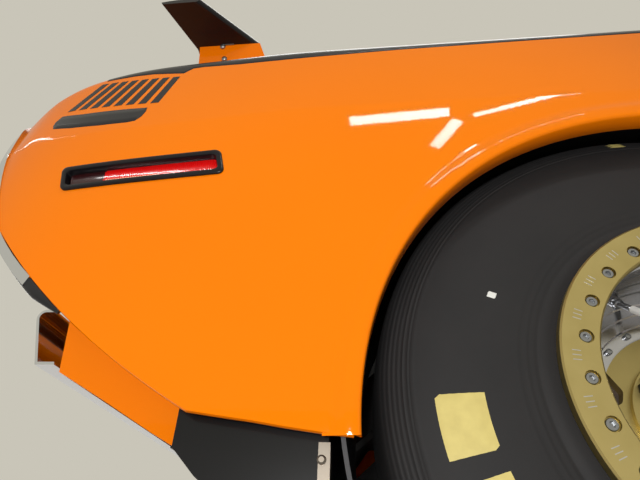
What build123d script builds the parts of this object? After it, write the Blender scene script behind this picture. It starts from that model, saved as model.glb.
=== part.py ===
from build123d import *
from math import cos, radians, sin, sqrt, tan
import os

os.makedirs("parts", exist_ok=True)

# Rear body section of a two-door muscle car, cut off behind the doors.
# Millimetres. +X forward, +Y left, +Z up. The origin is the middle of the four
# bolt holes in the flanges on the front ends of the two frame rails.
# Places along the body are measured from the middle of the axle.

# Axle and ground
axle_x = -700
axle_z = 108
clear = 0.3
gap = 5

# Body sides
cut_fwd = 640
skin = 12
lid_half = 700
roll_r = 70
lean = 6
top_rise = 5
side_low = -140
loft_x = -425
arch_section = (872, 926, 916, 428, 562)
stations = (
    # ahead of axle, half width at bottom, at crease, at shoulder, crease height, shoulder height
    (loft_x, *arch_section),
    (loft_x - 50, *arch_section),
    (-660, 866, 922, 912, 416, 558),
    (-860, 852, 911, 901, 404, 548),
    (-985, 836, 893, 883, 390, 515),
    (-1065, 812, 866, 856, 378, 420),
)
tail_edge = ((-1045, 520), (-1022, 390), (-953, 223), (-818, 98), (-616, -33))

# Wheel arch
arch_r = 417
arch_x = -2
arch_z = -45
lip_wide = 22
lip_proud = 5
lip_deep = 26
lip_thick = 6

# Side marker lamps
marker_x = -748
marker_z = 316
marker_long = 252
marker_high = 52
marker_tilt = 4
marker_rim = 13
marker_corner = 12

# Roof, pillars and glass
roof_wall = 26
roof_top = 884
roof_edge_y = 610
roof_edge_z = 846
roof_base_y = 858
roof_low = 615.3
slope_front = (300, 852)
slope_rear = (-330, 612)
glass_thick = 5
glass_deep = 8
side_window = ((660, 648), (352, 648), (462, 802), (660, 808))

# Deck lid, filler and hinges
lid_front = -345
lid_thick = 14
lid_line = ((lid_front, 623), (-850, 610), (-998, 566), (-1003, 508))
filler_top = 630
filler_thick = 12
hinge_r = 7
hinge_long = 60
hinge_y = 420

# Wing
wing_z = 835
wing_thick = 20
blade_straight = 785
blade_half = 900
stand_y = 684
stand_lean = 23
stand_thick = 16

# Tail
tail_x = -985
tail_thick = 8
tail_high = 552
tail_line = ((tail_x + tail_thick / 2, tail_high), (tail_x + tail_thick / 2, 312), (-911, 207), (-815, 96))
tail_bend = 40
trim_bar_z = 300
trim_wide = 13
lamp_y = 455
lamp_z = 372
lamp_long = 430
lamp_high = 100
bumper_top = 120
bumper_low = 38
bumper_half = 838
bumper_rear = -886
bumper_deep = 28
bumper_lean = 20
bumper_round = 12
bumper_wall = 4
valance_top = 205
valance_half = bumper_half + 24
valance_rear = bumper_rear + 36
valance_round = 20
valance_lean = 8
valance_wall = 5

# Floors, wheelhouses and bulkhead
sheet = 5
tub_r = 440
tub_in = 490
tub_deep = 440
front_floor_z = -65.5
tunnel_r = 90
axle_floor_z = 222
rear_floor_z = 100
floor_end = -832
shelf_half = valance_half - 40
bulkhead_x = 250
shelf_z = 615
well_front = -455
well_rear = -632
well_out = 864
tank_x = -635
tank_long = 198
tank_half = 270
tank_low = -58
tank_seam = 16

# Frame rails and flanges
rail_y = 425
rail_wide = 60
rail_high = 80
rail_bend = 60
rail_end = -802
flange_thick = 10
flange_wide = 90
flange_high = 160
flange_hole_r = 7
flange_hole_z = 58
cross_r = 20

# Wheels and tyres
tyre_r = 408
tyre_wall = 12
bead_r = 190
ring_out_r = 206
ring_in_r = 164
ring_face = 905
ring_thick = 14
ring_bolts = 24
ring_bolt_r = 179
disc_r = 168
disc_face = 757
disc_thick = 14
windows = 5
window_in_r = 88
window_out_r = 144
window_half = 52
lugs = 5
lug_circle_r = 60
lug_flats = 24
lug_long = 30
drum_r = 140
drum_in = 682
shaft_r = 18

# Axle, springs and dampers
tube_r = 40
spring_y = 335
spring_wide = 64
leaf = 8
eye_r = 30
spring_front = 560
spring_rear = -690
shaft_tube_r = 36
pinion_z = -12
damper_y = 235
damper_top = (-120, 181)
damper_foot = (-64, -10)

# Exhaust
pipe_y = 212
pipe_z = -156
pipe_r = 25
muffler_front = 520
muffler_rear = 270
muffler_wide = 140
muffler_high = 104


def side_plane(y=0):
    """A plane seen from the right: x ahead of the axle, y above it."""
    return Plane((axle_x, y, axle_z), x_dir=(1, 0, 0), z_dir=(0, -1, 0))


def cross_plane(x):
    """A plane across the car: x out to the right, y above the axle."""
    return Plane((axle_x + x, 0, axle_z), x_dir=(0, -1, 0), z_dir=(-1, 0, 0))


def level_plane(z):
    """A level plane: x ahead of the axle, y to the left."""
    return Plane((axle_x, 0, axle_z + z), x_dir=(1, 0, 0), z_dir=(0, 0, 1))


axle_line = Axis((axle_x, 0, axle_z), (0, -1, 0))


def side_edge(station, out):
    """Points of one body section, moved out square to the skin: bottom, middle, crease,
    shoulder, roll and the inner edge of the top."""
    x, y_bottom, y_crease, y_shoulder, z_crease, z_shoulder = station
    bulge = y_crease - y_bottom
    rise = z_crease - side_low
    big_r = (bulge ** 2 + rise ** 2) / (2 * bulge)
    y_centre = y_crease - big_r
    bottom = (y_centre + sqrt((big_r + out) ** 2 - rise ** 2), side_low)
    middle = (y_centre + sqrt((big_r + out) ** 2 - (rise / 2) ** 2), side_low + rise / 2)
    crease = (y_crease + out, z_crease)
    a = radians(lean)
    y_roll = y_shoulder - roll_r * cos(a)
    z_roll = z_shoulder - roll_r * sin(a)
    r = roll_r + out
    b = (a + radians(90)) / 2
    shoulder = (y_roll + r * cos(a), z_roll + r * sin(a))
    roll = (y_roll + r * cos(b), z_roll + r * sin(b))
    top = (y_roll, z_roll + r)
    inner = (lid_half + gap, z_roll + r + top_rise)
    return bottom, middle, crease, shoulder, roll, top, inner


def side_section(station, out, inn):
    """The cut through the skin at one station, between two surfaces, each moved out."""
    with BuildSketch(cross_plane(station[0])) as section:
        with BuildLine():
            far = side_edge(station, out)
            near = side_edge(station, inn)
            ThreePointArc(far[0], far[1], far[2])
            Line(far[2], far[3])
            ThreePointArc(far[3], far[4], far[5])
            Line(far[5], far[6])
            Line(far[6], near[6])
            Line(near[6], near[5])
            ThreePointArc(near[5], near[4], near[3])
            Line(near[3], near[2])
            ThreePointArc(near[2], near[1], near[0])
            Line(near[0], far[0])
        make_face()
    return section.sketch


def side_wall(out, inn):
    """The right side's skin between two surfaces: straight along the arch, lofted to the tail."""
    with BuildPart() as wall:
        extrude(side_section(stations[0], out, inn), amount=-(cut_fwd - loft_x))
        loft([side_section(station, out, inn) for station in stations])
    return wall.part


def mirrored(part, name):
    """The same piece on the left side."""
    with BuildPart() as left:
        mirror(part, about=Plane.XZ)
    left.part.label = name
    return left.part


def save(part, name):
    part.label = name
    export_step(part, f"parts/{name}.step")


def pair(part, name):
    """One piece for each side: the right one as modelled, the left one mirrored."""
    save(part, f"{name}_right")
    save(mirrored(part, f"{name}_left"), f"{name}_left")


def both_sides(part):
    """The right piece and its mirror image as one node."""
    with BuildPart() as two:
        add(part)
        mirror(part, about=Plane.XZ)
    return two.part


def prism(sketch, depth=1000, both=False):
    """A sketch on the side plane pushed out to the right, or to both sides."""
    with BuildPart() as block:
        extrude(sketch, amount=depth, both=both)
    return block.part


def side_area(*points):
    """A flat area seen from the side, with straight edges."""
    with BuildSketch(side_plane()) as area:
        with BuildLine():
            Polyline(*points, close=True)
        make_face()
    return area.sketch


# What the skin, the roof's base and the arch lip are trimmed to
beyond_side = side_wall(80, -skin - clear)
beyond_both = both_sides(beyond_side)
under_top = both_sides(side_wall(0, -60))

# Quarter panels, rolled over at the shoulder, with a rolled lip round the wheel arch
with BuildSketch(side_plane()) as side_outline:
    with BuildLine():
        Line((700, -100), (700, 700))
        Line((700, 700), (tail_edge[0][0], 700))
        Line((tail_edge[0][0], 700), tail_edge[0])
        ThreePointArc(*tail_edge[:3])
        ThreePointArc(*tail_edge[2:])
        Line(tail_edge[4], (-400, -60))
        Line((-400, -60), (360, -100))
        Line((360, -100), (700, -100))
    make_face()
    with Locations((arch_x, arch_z)):
        Circle(arch_r, mode=Mode.SUBTRACT)
with BuildSketch(side_plane()) as marker_area:
    with Locations((marker_x, marker_z)):
        RectangleRounded(marker_long, marker_high, marker_corner, rotation=marker_tilt)
with BuildSketch(side_plane()) as lip_area:
    with Locations((arch_x, arch_z)):
        Circle(arch_r + lip_wide)
        Circle(arch_r, mode=Mode.SUBTRACT)
    with Locations((arch_x, -560)):
        Rectangle(1000, 1000, mode=Mode.SUBTRACT)
with BuildSketch(side_plane()) as lip_edge_area:
    with Locations((arch_x, arch_z)):
        Circle(arch_r + lip_thick)
        Circle(arch_r, mode=Mode.SUBTRACT)
    with Locations((arch_x, -560)):
        Rectangle(1000, 1000, mode=Mode.SUBTRACT)
with BuildPart() as panel:
    add(side_wall(0, -skin))
    add(prism(side_outline.sketch), mode=Mode.INTERSECT)
    add(prism(marker_area.sketch), mode=Mode.SUBTRACT)
with BuildPart() as lip:
    add(side_wall(lip_proud, 0))
    add(prism(lip_area.sketch), mode=Mode.INTERSECT)
with BuildPart() as lip_edge:
    add(side_wall(lip_proud, -lip_deep))
    add(prism(lip_edge_area.sketch), mode=Mode.INTERSECT)
with BuildPart() as quarter:
    add(panel.part)
    add(lip.part)
    add(lip_edge.part)
pair(quarter.part, "quarter")

# Side marker lamps: a rounded black bezel let into the skin, with a sunk lens
with BuildSketch(side_plane()) as marker_window:
    with Locations((marker_x, marker_z)):
        RectangleRounded(marker_long - 2 * marker_rim, marker_high - 2 * marker_rim, 5,
                         rotation=marker_tilt)
with BuildPart() as bezel:
    add(side_wall(4, -skin))
    add(prism(marker_area.sketch), mode=Mode.INTERSECT)
    add(prism(marker_window.sketch), mode=Mode.SUBTRACT)
save(both_sides(bezel.part), "marker_bezels")
with BuildPart() as lens:
    add(side_wall(-6, -skin))
    add(prism(marker_window.sketch), mode=Mode.INTERSECT)
save(both_sides(lens.part), "marker_lenses")


# Roof with its pillars, cut off over the doors, and the glass behind it
def roof_form(inset):
    """The roof's outer form, drawn in by a wall."""
    with BuildSketch(side_plane()) as profile:
        with BuildLine():
            Line((720, 480), (720, roof_top + 12))
            Line((720, roof_top + 12), (480, roof_top + 8))
            ThreePointArc((480, roof_top + 8), (390, 884), slope_front)
            Line(slope_front, slope_rear)
            Line(slope_rear, (slope_rear[0] - 60, 480))
            Line((slope_rear[0] - 60, 480), (720, 480))
        make_face()
        if inset:
            offset(amount=-inset)
    with BuildSketch(cross_plane(740)) as section:
        with BuildLine():
            Line((-roof_base_y, 480), (roof_base_y, 480))
            Line((roof_base_y, 480), (roof_base_y, 600))
            ThreePointArc((roof_base_y, 600), (768, 744), (roof_edge_y, roof_edge_z))
            ThreePointArc((roof_edge_y, roof_edge_z), (0, roof_top), (-roof_edge_y, roof_edge_z))
            ThreePointArc((-roof_edge_y, roof_edge_z), (-768, 744), (-roof_base_y, 600))
            Line((-roof_base_y, 600), (-roof_base_y, 480))
        make_face()
        edges = section.vertices().group_by(Axis.Z)[-1]
        fillet(edges, 55)
        if inset:
            offset(amount=-inset)
    with BuildPart() as form:
        extrude(profile.sketch, amount=1000, both=True)
        extrude(section.sketch, amount=1300, mode=Mode.INTERSECT)
    return form.part


slope = Vector(slope_front[0] - slope_rear[0], 0, slope_front[1] - slope_rear[1]).normalized()
glass_plane = Plane(
    (axle_x + (slope_front[0] + slope_rear[0]) / 2, 0, axle_z + (slope_front[1] + slope_rear[1]) / 2),
    x_dir=(0, 1, 0), z_dir=(-slope.Z, 0, slope.X))
with BuildSketch(glass_plane) as rear_window:
    with BuildLine():
        Polyline((-470, -262), (470, -262), (610, 275), (-610, 275), close=True)
    make_face()
    fillet(rear_window.vertices(), 45)
window_prism = prism(side_area(*side_window), both=True)
rear_prism = prism(rear_window.sketch, 60, both=True)
with BuildPart() as roof:
    add(roof_form(0))
    add(roof_form(roof_wall), mode=Mode.SUBTRACT)
    add(prism(side_area((cut_fwd, roof_low), (cut_fwd, 920), (-420, 920), (-420, roof_low)), both=True),
        mode=Mode.INTERSECT)
    add(window_prism, mode=Mode.SUBTRACT)
    add(rear_prism, mode=Mode.SUBTRACT)
    add(under_top, mode=Mode.SUBTRACT)
filler_area = side_area(
    (lid_front + gap, filler_top), (-225, filler_top), (-225, filler_top - filler_thick),
    (lid_front + gap + filler_thick, filler_top - filler_thick),
    (lid_front + gap + filler_thick, filler_top - 50), (lid_front + gap, filler_top - 50))
with BuildPart() as filler:
    extrude(filler_area, amount=lid_half + gap, both=True)
save(filler.part, "deck_filler")
with BuildPart() as roof_cut:
    add(roof.part)
    add(prism(side_area((-420, 600), (-420, filler_top), (-225, filler_top), (-225, 600)), both=True),
        mode=Mode.SUBTRACT)
save(roof_cut.part, "roof")
with BuildPart() as rear_glass:
    extrude(rear_window.sketch.moved(Location(glass_plane.z_dir * -glass_deep)), amount=-glass_thick)
    add(filler.part, mode=Mode.SUBTRACT)
save(rear_glass.part, "rear_glass")
with BuildPart() as side_glass:
    add(roof_form(glass_deep))
    add(roof_form(glass_deep + glass_thick), mode=Mode.SUBTRACT)
    add(window_prism, mode=Mode.INTERSECT)
    add(prism(side_area((cut_fwd - 2, 604), (cut_fwd - 2, 920), (0, 920), (0, 604)), both=True),
        mode=Mode.INTERSECT)
save(side_glass.part, "quarter_glass")


# Deck lid with its rear lip and a braced underside
def spot(x, y, z):
    """A place given from the middle of the axle."""
    return Location((axle_x + x, y, axle_z + z))


hinge_x = lid_front + gap / 2
hinge_z = filler_top + hinge_r
with BuildSketch(side_plane()) as lid_profile:
    with BuildLine() as lid_path:
        FilletPolyline(*lid_line, radius=(120, 40))
    trace(lid_path.line, line_width=lid_thick)
with BuildPart() as lid:
    extrude(lid_profile.sketch, amount=lid_half, both=True)
    for x in (-410, -640, -880):
        with Locations(spot(x, 0, 598)):
            Box(30, 1240, 20)
    for y in (-605, -300, 300, 605):
        with Locations(spot(-645, y, 598)):
            Box(500, 30, 20)
    for y in (-hinge_y, hinge_y):
        with Locations(spot(hinge_x, y, hinge_z)):
            Cylinder(hinge_r, hinge_long, rotation=(90, 0, 0))
        with Locations(spot(hinge_x - 30, y, hinge_z - hinge_r)):
            Box(58, hinge_long, 4)
        with Locations(spot(hinge_x, y, hinge_z)):
            Box(80, hinge_long / 3 + 2 * clear, 40, mode=Mode.SUBTRACT)
            Cylinder(3 + clear, hinge_long + 1, rotation=(90, 0, 0), mode=Mode.SUBTRACT)
save(lid.part, "deck_lid")
with BuildPart() as hinges:
    for y in (-hinge_y, hinge_y):
        with Locations(spot(hinge_x, y, hinge_z)):
            Cylinder(hinge_r, hinge_long / 3 - 2 * clear, rotation=(90, 0, 0))
            Cylinder(3, hinge_long + 4, rotation=(90, 0, 0))
        with Locations(spot(hinge_x + 24, y, hinge_z - 5)):
            Box(40, hinge_long / 3 - 2 * clear, 4)
save(hinges.part, "deck_hinges")

# Wing: two leaning stands on the lid, and a blade with swept tips across them
stand_plane = Plane(
    (axle_x, -stand_y, axle_z + 600), x_dir=(1, 0, 0),
    z_dir=(0, -cos(radians(stand_lean)), -sin(radians(stand_lean))))
stand_high = (wing_z - 600) / cos(radians(stand_lean))
with BuildPart() as stand:
    with BuildSketch(stand_plane):
        with BuildLine():
            Line((-560, 0), (-655, stand_high + 20))
            Line((-655, stand_high + 20), (-795, stand_high + 20))
            ThreePointArc((-795, stand_high + 20), (-815, 120), (-885, 0))
            Line((-885, 0), (-560, 0))
        make_face()
    extrude(amount=stand_thick / 2, both=True)
    with Locations(spot(-720, -stand_y - 100, wing_z + 100)):
        Box(500, 400, 200, mode=Mode.SUBTRACT)
    add(lid.part, mode=Mode.SUBTRACT)
    add(prism(side_area((-400, 300), (-400, 617), (-850, 604), (-1000, 560), (-1000, 300))),
        mode=Mode.SUBTRACT)


def blade_section(y, front, rear, thick):
    """The wing's section at one distance from the middle of the car: flat below, humped above."""
    with BuildSketch(side_plane(-y)) as section:
        with BuildLine():
            Line((rear, wing_z), (front - 10, wing_z))
            ThreePointArc((front - 10, wing_z), (front, wing_z + thick * 0.4), (front - 14, wing_z + thick))
            ThreePointArc((front - 14, wing_z + thick), ((front + rear) / 2 - 10, wing_z + thick * 0.95),
                          (rear - 4, wing_z + 8))
            Line((rear - 4, wing_z + 8), (rear, wing_z))
        make_face()
    return section.sketch


with BuildPart() as half_blade:
    extrude(blade_section(0, -655, -800, wing_thick), amount=blade_straight)
    loft([blade_section(blade_straight, -655, -800, wing_thick),
          blade_section(blade_half, -764, -846, wing_thick * 0.7)])
blade = both_sides(half_blade.part)
save(blade, "wing_blade")
with BuildPart() as stand_cut:
    add(stand.part)
    add(blade, mode=Mode.SUBTRACT)
save(both_sides(stand_cut.part), "wing_stands")

# Tail panel, bent forward under the lamps, and the bright trim along the quarters' rear edges
with BuildSketch(side_plane()) as tail_profile:
    with BuildLine() as tail_path:
        FilletPolyline(*tail_line, radius=tail_bend)
    trace(tail_path.line, line_width=tail_thick)
with BuildPart() as tail:
    extrude(tail_profile.sketch, amount=900, both=True)
    with BuildSketch(cross_plane(tail_x)):
        with Locations((-lamp_y, lamp_z), (lamp_y, lamp_z)):
            RectangleRounded(lamp_long, lamp_high, 20)
    extrude(amount=-tail_thick, mode=Mode.SUBTRACT)
    with Locations(spot(tail_x, 0, rear_floor_z + sheet / 2 - 100)):
        Box(1000, 2000, 200, mode=Mode.SUBTRACT)
    add(beyond_both, mode=Mode.SUBTRACT)
save(tail.part, "tail_panel")
with BuildPart() as lamps:
    with BuildSketch(cross_plane(tail_x + tail_thick)):
        with Locations((-lamp_y, lamp_z), (lamp_y, lamp_z)):
            RectangleRounded(lamp_long, lamp_high, 20)
    extrude(amount=tail_thick + 10)
    with BuildSketch(cross_plane(tail_x - 10)):
        for side in (-1, 1):
            for k in range(-2, 3):
                with Locations((side * lamp_y + k * lamp_long / 5.4, lamp_z)):
                    RectangleRounded(lamp_long / 5.4 - 10, lamp_high - 16, 8)
    extrude(amount=4)
save(lamps.part, "tail_lamps")
back = -trim_wide
with BuildSketch(side_plane()) as trim_area:
    with BuildLine():
        ThreePointArc(*tail_edge[:3])
        ThreePointArc(tail_edge[2], (-918, 185), (-868, 140))
        Line((-868, 140), (-868 + back / 2, 140 + back))
        ThreePointArc((-868 + back / 2, 140 + back), (-918 + back / 2, 185 + back),
                      (tail_edge[2][0] + back, tail_edge[2][1] + back / 2))
        ThreePointArc((tail_edge[2][0] + back, tail_edge[2][1] + back / 2),
                      (tail_edge[1][0] + back, tail_edge[1][1]), (tail_edge[0][0] + back, tail_edge[0][1]))
        Line((tail_edge[0][0] + back, tail_edge[0][1]), tail_edge[0])
    make_face()
with BuildPart() as trim:
    add(side_wall(2, -2 * skin))
    add(prism(trim_area.sketch), mode=Mode.INTERSECT)
with BuildPart() as trim_bar:
    with BuildSketch(cross_plane(tail_x)):
        with Locations((0, trim_bar_z)):
            Rectangle(1800, 14)
    extrude(amount=10)
    add(beyond_both, mode=Mode.SUBTRACT)


# Bumper: a leaning channel across the tail, open at its ends, on a bracket from each rail
def bumper_form(inset, half, front):
    """The channel's outside or inside, as far forward as asked."""
    drop = tan(radians(bumper_lean))
    top, low = bumper_top - inset, bumper_low + inset
    rear_top = bumper_rear + inset + inset * drop
    rear_low = rear_top + (top - low) * drop
    with BuildSketch(side_plane()) as section:
        with BuildLine():
            Polyline((rear_top, top), (rear_low, low), (front + (bumper_top - low) * drop, low),
                     (front + (bumper_top - top) * drop, top), close=True)
        make_face()
        fillet(section.vertices().sort_by(Axis.X)[:1] + section.vertices().group_by(Axis.Z)[0].sort_by(Axis.X)[:1],
               bumper_round - inset)
    with BuildPart() as form:
        extrude(section.sketch, amount=half, both=True)
    return form.part


bumper_block = bumper_form(0, bumper_half, bumper_rear + bumper_deep)
with BuildPart() as brackets:
    for y in (-rail_y, rail_y):
        with Locations(spot((rail_end + bumper_rear) / 2, y, 80)):
            Box(rail_end - bumper_rear, rail_wide, 32)
with BuildPart() as bracket_cut:
    add(brackets.part)
    add(bumper_form(bumper_wall, bumper_half, rail_end), mode=Mode.INTERSECT)
with BuildPart() as bumper_shell:
    add(bumper_block)
    add(bumper_form(bumper_wall, bumper_half + 10, rail_end), mode=Mode.SUBTRACT)
    add(bracket_cut.part)
save(bumper_shell.part, "bumper")
with BuildPart() as trim_all:
    add(both_sides(trim.part))
    add(trim_bar.part)
    add(tail.part, mode=Mode.SUBTRACT)
    add(bumper_block, mode=Mode.SUBTRACT)
save(trim_all.part, "tail_trim")


# Valance: a band that wraps round under the tail and leans in towards its lower edge
def band(z_top, z_low, half, rear, corner, lean_angle, inset):
    """A block inside the band's outer face, drawn in by a wall."""
    with BuildPart() as block:
        with BuildSketch(level_plane(z_top)):
            with BuildLine():
                FilletPolyline((0, -half), (rear, -half), (rear, half), (0, half), radius=corner, close=False)
                Line((0, half), (0, -half))
            make_face()
            if inset:
                offset(amount=-inset)
        extrude(amount=-(z_top - z_low), taper=lean_angle)
    return block.part


with BuildPart() as bracket_slots:
    for y in (-rail_y, rail_y):
        with Locations(spot((rail_end + bumper_rear) / 2, y, 80)):
            Box(rail_end - bumper_rear, rail_wide + 4, 36)
with BuildPart() as valance:
    add(band(valance_top, -75, valance_half, valance_rear, valance_round, valance_lean, 0))
    add(band(valance_top, -75, valance_half, valance_rear, valance_round, valance_lean, valance_wall),
        mode=Mode.SUBTRACT)
    with Locations(spot(well_rear - clear + 500, 0, 0)):
        Box(1000, 2000, 600, mode=Mode.SUBTRACT)
    with Locations(spot(-780 - 500, 0, rear_floor_z - sheet / 2 - clear + 200)):
        Box(1000, 2000, 400, mode=Mode.SUBTRACT)
    add(prism(side_area((-600, -68), (-643, -60), (-676, -44), (-749, -6), (-803, 21), (-850, 44), (-1200, 44),
                        (-1200, -200), (-600, -200)), both=True), mode=Mode.SUBTRACT)
    add(prism(side_area((-600, -5), (-640, 3), (-818, 130), (-900, 205), (-900, 400), (-600, 400)),
              both=True), mode=Mode.SUBTRACT)
    add(bracket_slots.part, mode=Mode.SUBTRACT)
    add(beyond_both, mode=Mode.SUBTRACT)
save(valance.part, "valance")

# Floors: one bent sheet from the cabin over the axle into the trunk, with wells at its sides
floor_half = tub_in - sheet
floor_line = ((cut_fwd, front_floor_z), (450, front_floor_z), (330, axle_floor_z), (-430, axle_floor_z),
              (-520, rear_floor_z), (floor_end, rear_floor_z))
well_rim = rear_floor_z + sheet / 2
with BuildSketch(side_plane()) as floor_profile:
    with BuildLine() as floor_path:
        FilletPolyline(*floor_line, radius=20)
    trace(floor_path.line, line_width=sheet)
with BuildPart() as shelf_floor:
    with BuildSketch(level_plane(rear_floor_z - sheet / 2)):
        with Locations(((well_rear + floor_end) / 2, 0)):
            Rectangle(well_rear - floor_end, 2 * shelf_half)
    extrude(amount=sheet)
with BuildPart() as tunnel_hollow:
    with Locations(spot(500, 0, front_floor_z - sheet / 2)):
        Cylinder(tunnel_r, 300, rotation=(0, 90, 0))
with BuildPart() as tunnel:
    with Locations(spot(500, 0, front_floor_z - sheet / 2)):
        Cylinder(tunnel_r + sheet, 300, rotation=(0, 90, 0))
    add(prism(side_area((cut_fwd, front_floor_z - sheet / 2), (449, front_floor_z - sheet / 2), (396, 60),
                        (cut_fwd, 60)), both=True), mode=Mode.INTERSECT)
with BuildPart() as floor:
    extrude(floor_profile.sketch, amount=floor_half, both=True)
    with BuildSketch(level_plane(front_floor_z - sheet / 2)):
        with Locations(((cut_fwd + tub_r + sheet + clear) / 2, 0)):
            Rectangle(cut_fwd - tub_r - sheet - clear, 1800)
    extrude(amount=sheet)
    add(shelf_floor.part)
    add(tunnel.part)
    add(tunnel_hollow.part, mode=Mode.SUBTRACT)
    add(beyond_both, mode=Mode.SUBTRACT)
save(floor.part, "floor")


def well_form(inset, half_in, half_out, rim):
    """The outside or inside of a side well, between two distances from the middle of the car."""
    with BuildPart() as block:
        with BuildSketch(side_plane(-half_in)):
            with BuildLine():
                Polyline((well_front, rim), (well_front, -135), (-560, -125), (-601, -96), (well_rear, -67),
                         (well_rear, rim), close=True)
            make_face()
            if inset:
                offset(amount=-inset)
        extrude(amount=half_out - half_in)
    return block.part


with BuildPart() as well:
    add(well_form(0, floor_half, well_out, well_rim))
    add(well_form(sheet, floor_half + sheet, well_out - sheet, well_rim + 40), mode=Mode.SUBTRACT)
    add(beyond_side, mode=Mode.SUBTRACT)
pair(well.part, "side_well")

# Wheelhouses: a half round tub over each tyre, closed on the inside and open to the arch
tub_area = side_area((-600, -118), (-600, 600), (600, 600), (600, front_floor_z), (0, front_floor_z),
                     (0, -118))
wall_area = side_area((-460, 204), (-430, axle_floor_z + sheet / 2), (330, axle_floor_z + sheet / 2),
                      (460, -50), (460, 500), (-460, 500))
with BuildPart() as tub_shell:
    with BuildSketch(side_plane(-tub_in)):
        Circle(tub_r + sheet)
        Circle(tub_r, mode=Mode.SUBTRACT)
    extrude(amount=tub_deep)
    add(prism(tub_area, 1200), mode=Mode.INTERSECT)
with BuildPart() as tub_wall:
    with BuildSketch(side_plane(-floor_half)):
        Circle(tub_r + sheet)
    extrude(amount=sheet)
    add(prism(wall_area, 1200), mode=Mode.INTERSECT)
with BuildPart() as tub:
    add(tub_shell.part)
    add(tub_wall.part)
    add(beyond_side, mode=Mode.SUBTRACT)
    add(quarter.part, mode=Mode.SUBTRACT)
    add(well.part, mode=Mode.SUBTRACT)
pair(tub.part, "wheelhouse")

# Bulkhead behind the cabin, with the shelf under the rear glass
with BuildPart() as in_tubs:
    with BuildSketch(side_plane(-floor_half)):
        Circle(tub_r + sheet)
    extrude(amount=600)
with BuildPart() as bulkhead:
    with BuildSketch(cross_plane(bulkhead_x)):
        with Locations((0, (axle_floor_z + sheet / 2 + shelf_z - sheet) / 2)):
            Rectangle(1900, shelf_z - sheet - axle_floor_z - sheet / 2)
    extrude(amount=sheet)
    with Locations(spot((bulkhead_x + lid_front + gap) / 2, 0, shelf_z - sheet / 2)):
        Box(bulkhead_x - lid_front - gap, 2 * lid_half, sheet)
    add(beyond_both, mode=Mode.SUBTRACT)
    add(both_sides(tub.part), mode=Mode.SUBTRACT)
    add(filler.part, mode=Mode.SUBTRACT)
    add(both_sides(in_tubs.part), mode=Mode.SUBTRACT)
save(bulkhead.part, "rear_bulkhead")

# Fuel tank hung under the trunk floor, pressed in two halves with a seam round it
with BuildPart() as tank:
    with BuildSketch(level_plane(tank_low)):
        with Locations((tank_x, 0)):
            RectangleRounded(tank_long, 2 * tank_half, 60)
    extrude(amount=rear_floor_z - sheet / 2 - tank_low)
    fillet(tank.edges().group_by(Axis.Z)[0], 30)
    with BuildSketch(level_plane((rear_floor_z + tank_low) / 2)):
        with Locations((tank_x, 0)):
            RectangleRounded(tank_long + 2 * tank_seam, 2 * (tank_half + tank_seam), 60 + tank_seam)
    extrude(amount=4)
save(tank.part, "fuel_tank")

# Frame rails: a boxed beam each side that arches over the axle, flanged at its front end
rail_over_z = axle_floor_z - sheet / 2 - rail_high / 2 - clear
rail_rear_z = rear_floor_z - sheet / 2 - rail_high / 2 - clear
rail_line = ((-axle_x - flange_thick, -axle_z), (405, -axle_z), (250, rail_over_z), (-330, rail_over_z),
             (-470, rail_rear_z), (rail_end, rail_rear_z))
with BuildPart() as rail:
    with BuildSketch(side_plane(-rail_y)):
        with BuildLine() as rail_path:
            FilletPolyline(*rail_line, radius=rail_bend)
        trace(rail_path.line, line_width=rail_high)
    extrude(amount=rail_wide / 2, both=True)
    with Locations((-flange_thick / 2, -rail_y, 0)):
        Box(flange_thick, flange_wide, flange_high)
    with Locations((-flange_thick / 2, -rail_y, flange_hole_z), (-flange_thick / 2, -rail_y, -flange_hole_z)):
        Cylinder(flange_hole_r, flange_thick + 2, rotation=(0, 90, 0), mode=Mode.SUBTRACT)
    with Locations(spot(spring_rear, -(rail_y - rail_wide / 2 - 50), 45)):
        Cylinder(10, 100, rotation=(90, 0, 0))
pair(rail.part, "frame_rail")
with BuildPart() as cross:
    for x, z in ((spring_front, -axle_z), damper_top, (rail_end + cross_r + 4, rail_rear_z)):
        with Locations(spot(x, 0, z)):
            Cylinder(cross_r, 2 * (rail_y - rail_wide / 2), rotation=(90, 0, 0))
save(cross.part, "crossmembers")

# Live axle: a round differential case with a tube to each wheel and a plate behind each brake
case_profile = ((0, 0), (0, 138), (60, 132), (108, 84), (150, tube_r), (drum_in - 16, tube_r),
                (drum_in - 16, 128), (drum_in - 11, 128), (drum_in - 11, 52), (drum_in + 8, 52),
                (drum_in + 8, 0))
with BuildPart() as axle_half:
    with BuildSketch(cross_plane(0)):
        with BuildLine():
            Polyline(*case_profile, close=True)
        make_face()
    revolve(axis=axle_line)
with BuildPart() as axle:
    add(both_sides(axle_half.part))
    with Locations(spot(125, 0, -12)):
        Cylinder(62, 150, rotation=(0, 90, 0))
    with Locations(spot(225, 0, -12)):
        Cylinder(40, 60, rotation=(0, 90, 0))
        Cylinder(52, 10, rotation=(0, 90, 0))
    for y in (-damper_y, damper_y):
        with Locations(spot(damper_foot[0] + 14, y, damper_foot[1])):
            Box(50, 24, 40)
    for y in (-1, 1):
        with Locations(spot(0, y * (drum_in - 20), 0)):
            Cylinder(shaft_r + clear, 64, rotation=(90, 0, 0), mode=Mode.SUBTRACT)
save(axle.part, "axle_housing")

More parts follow.
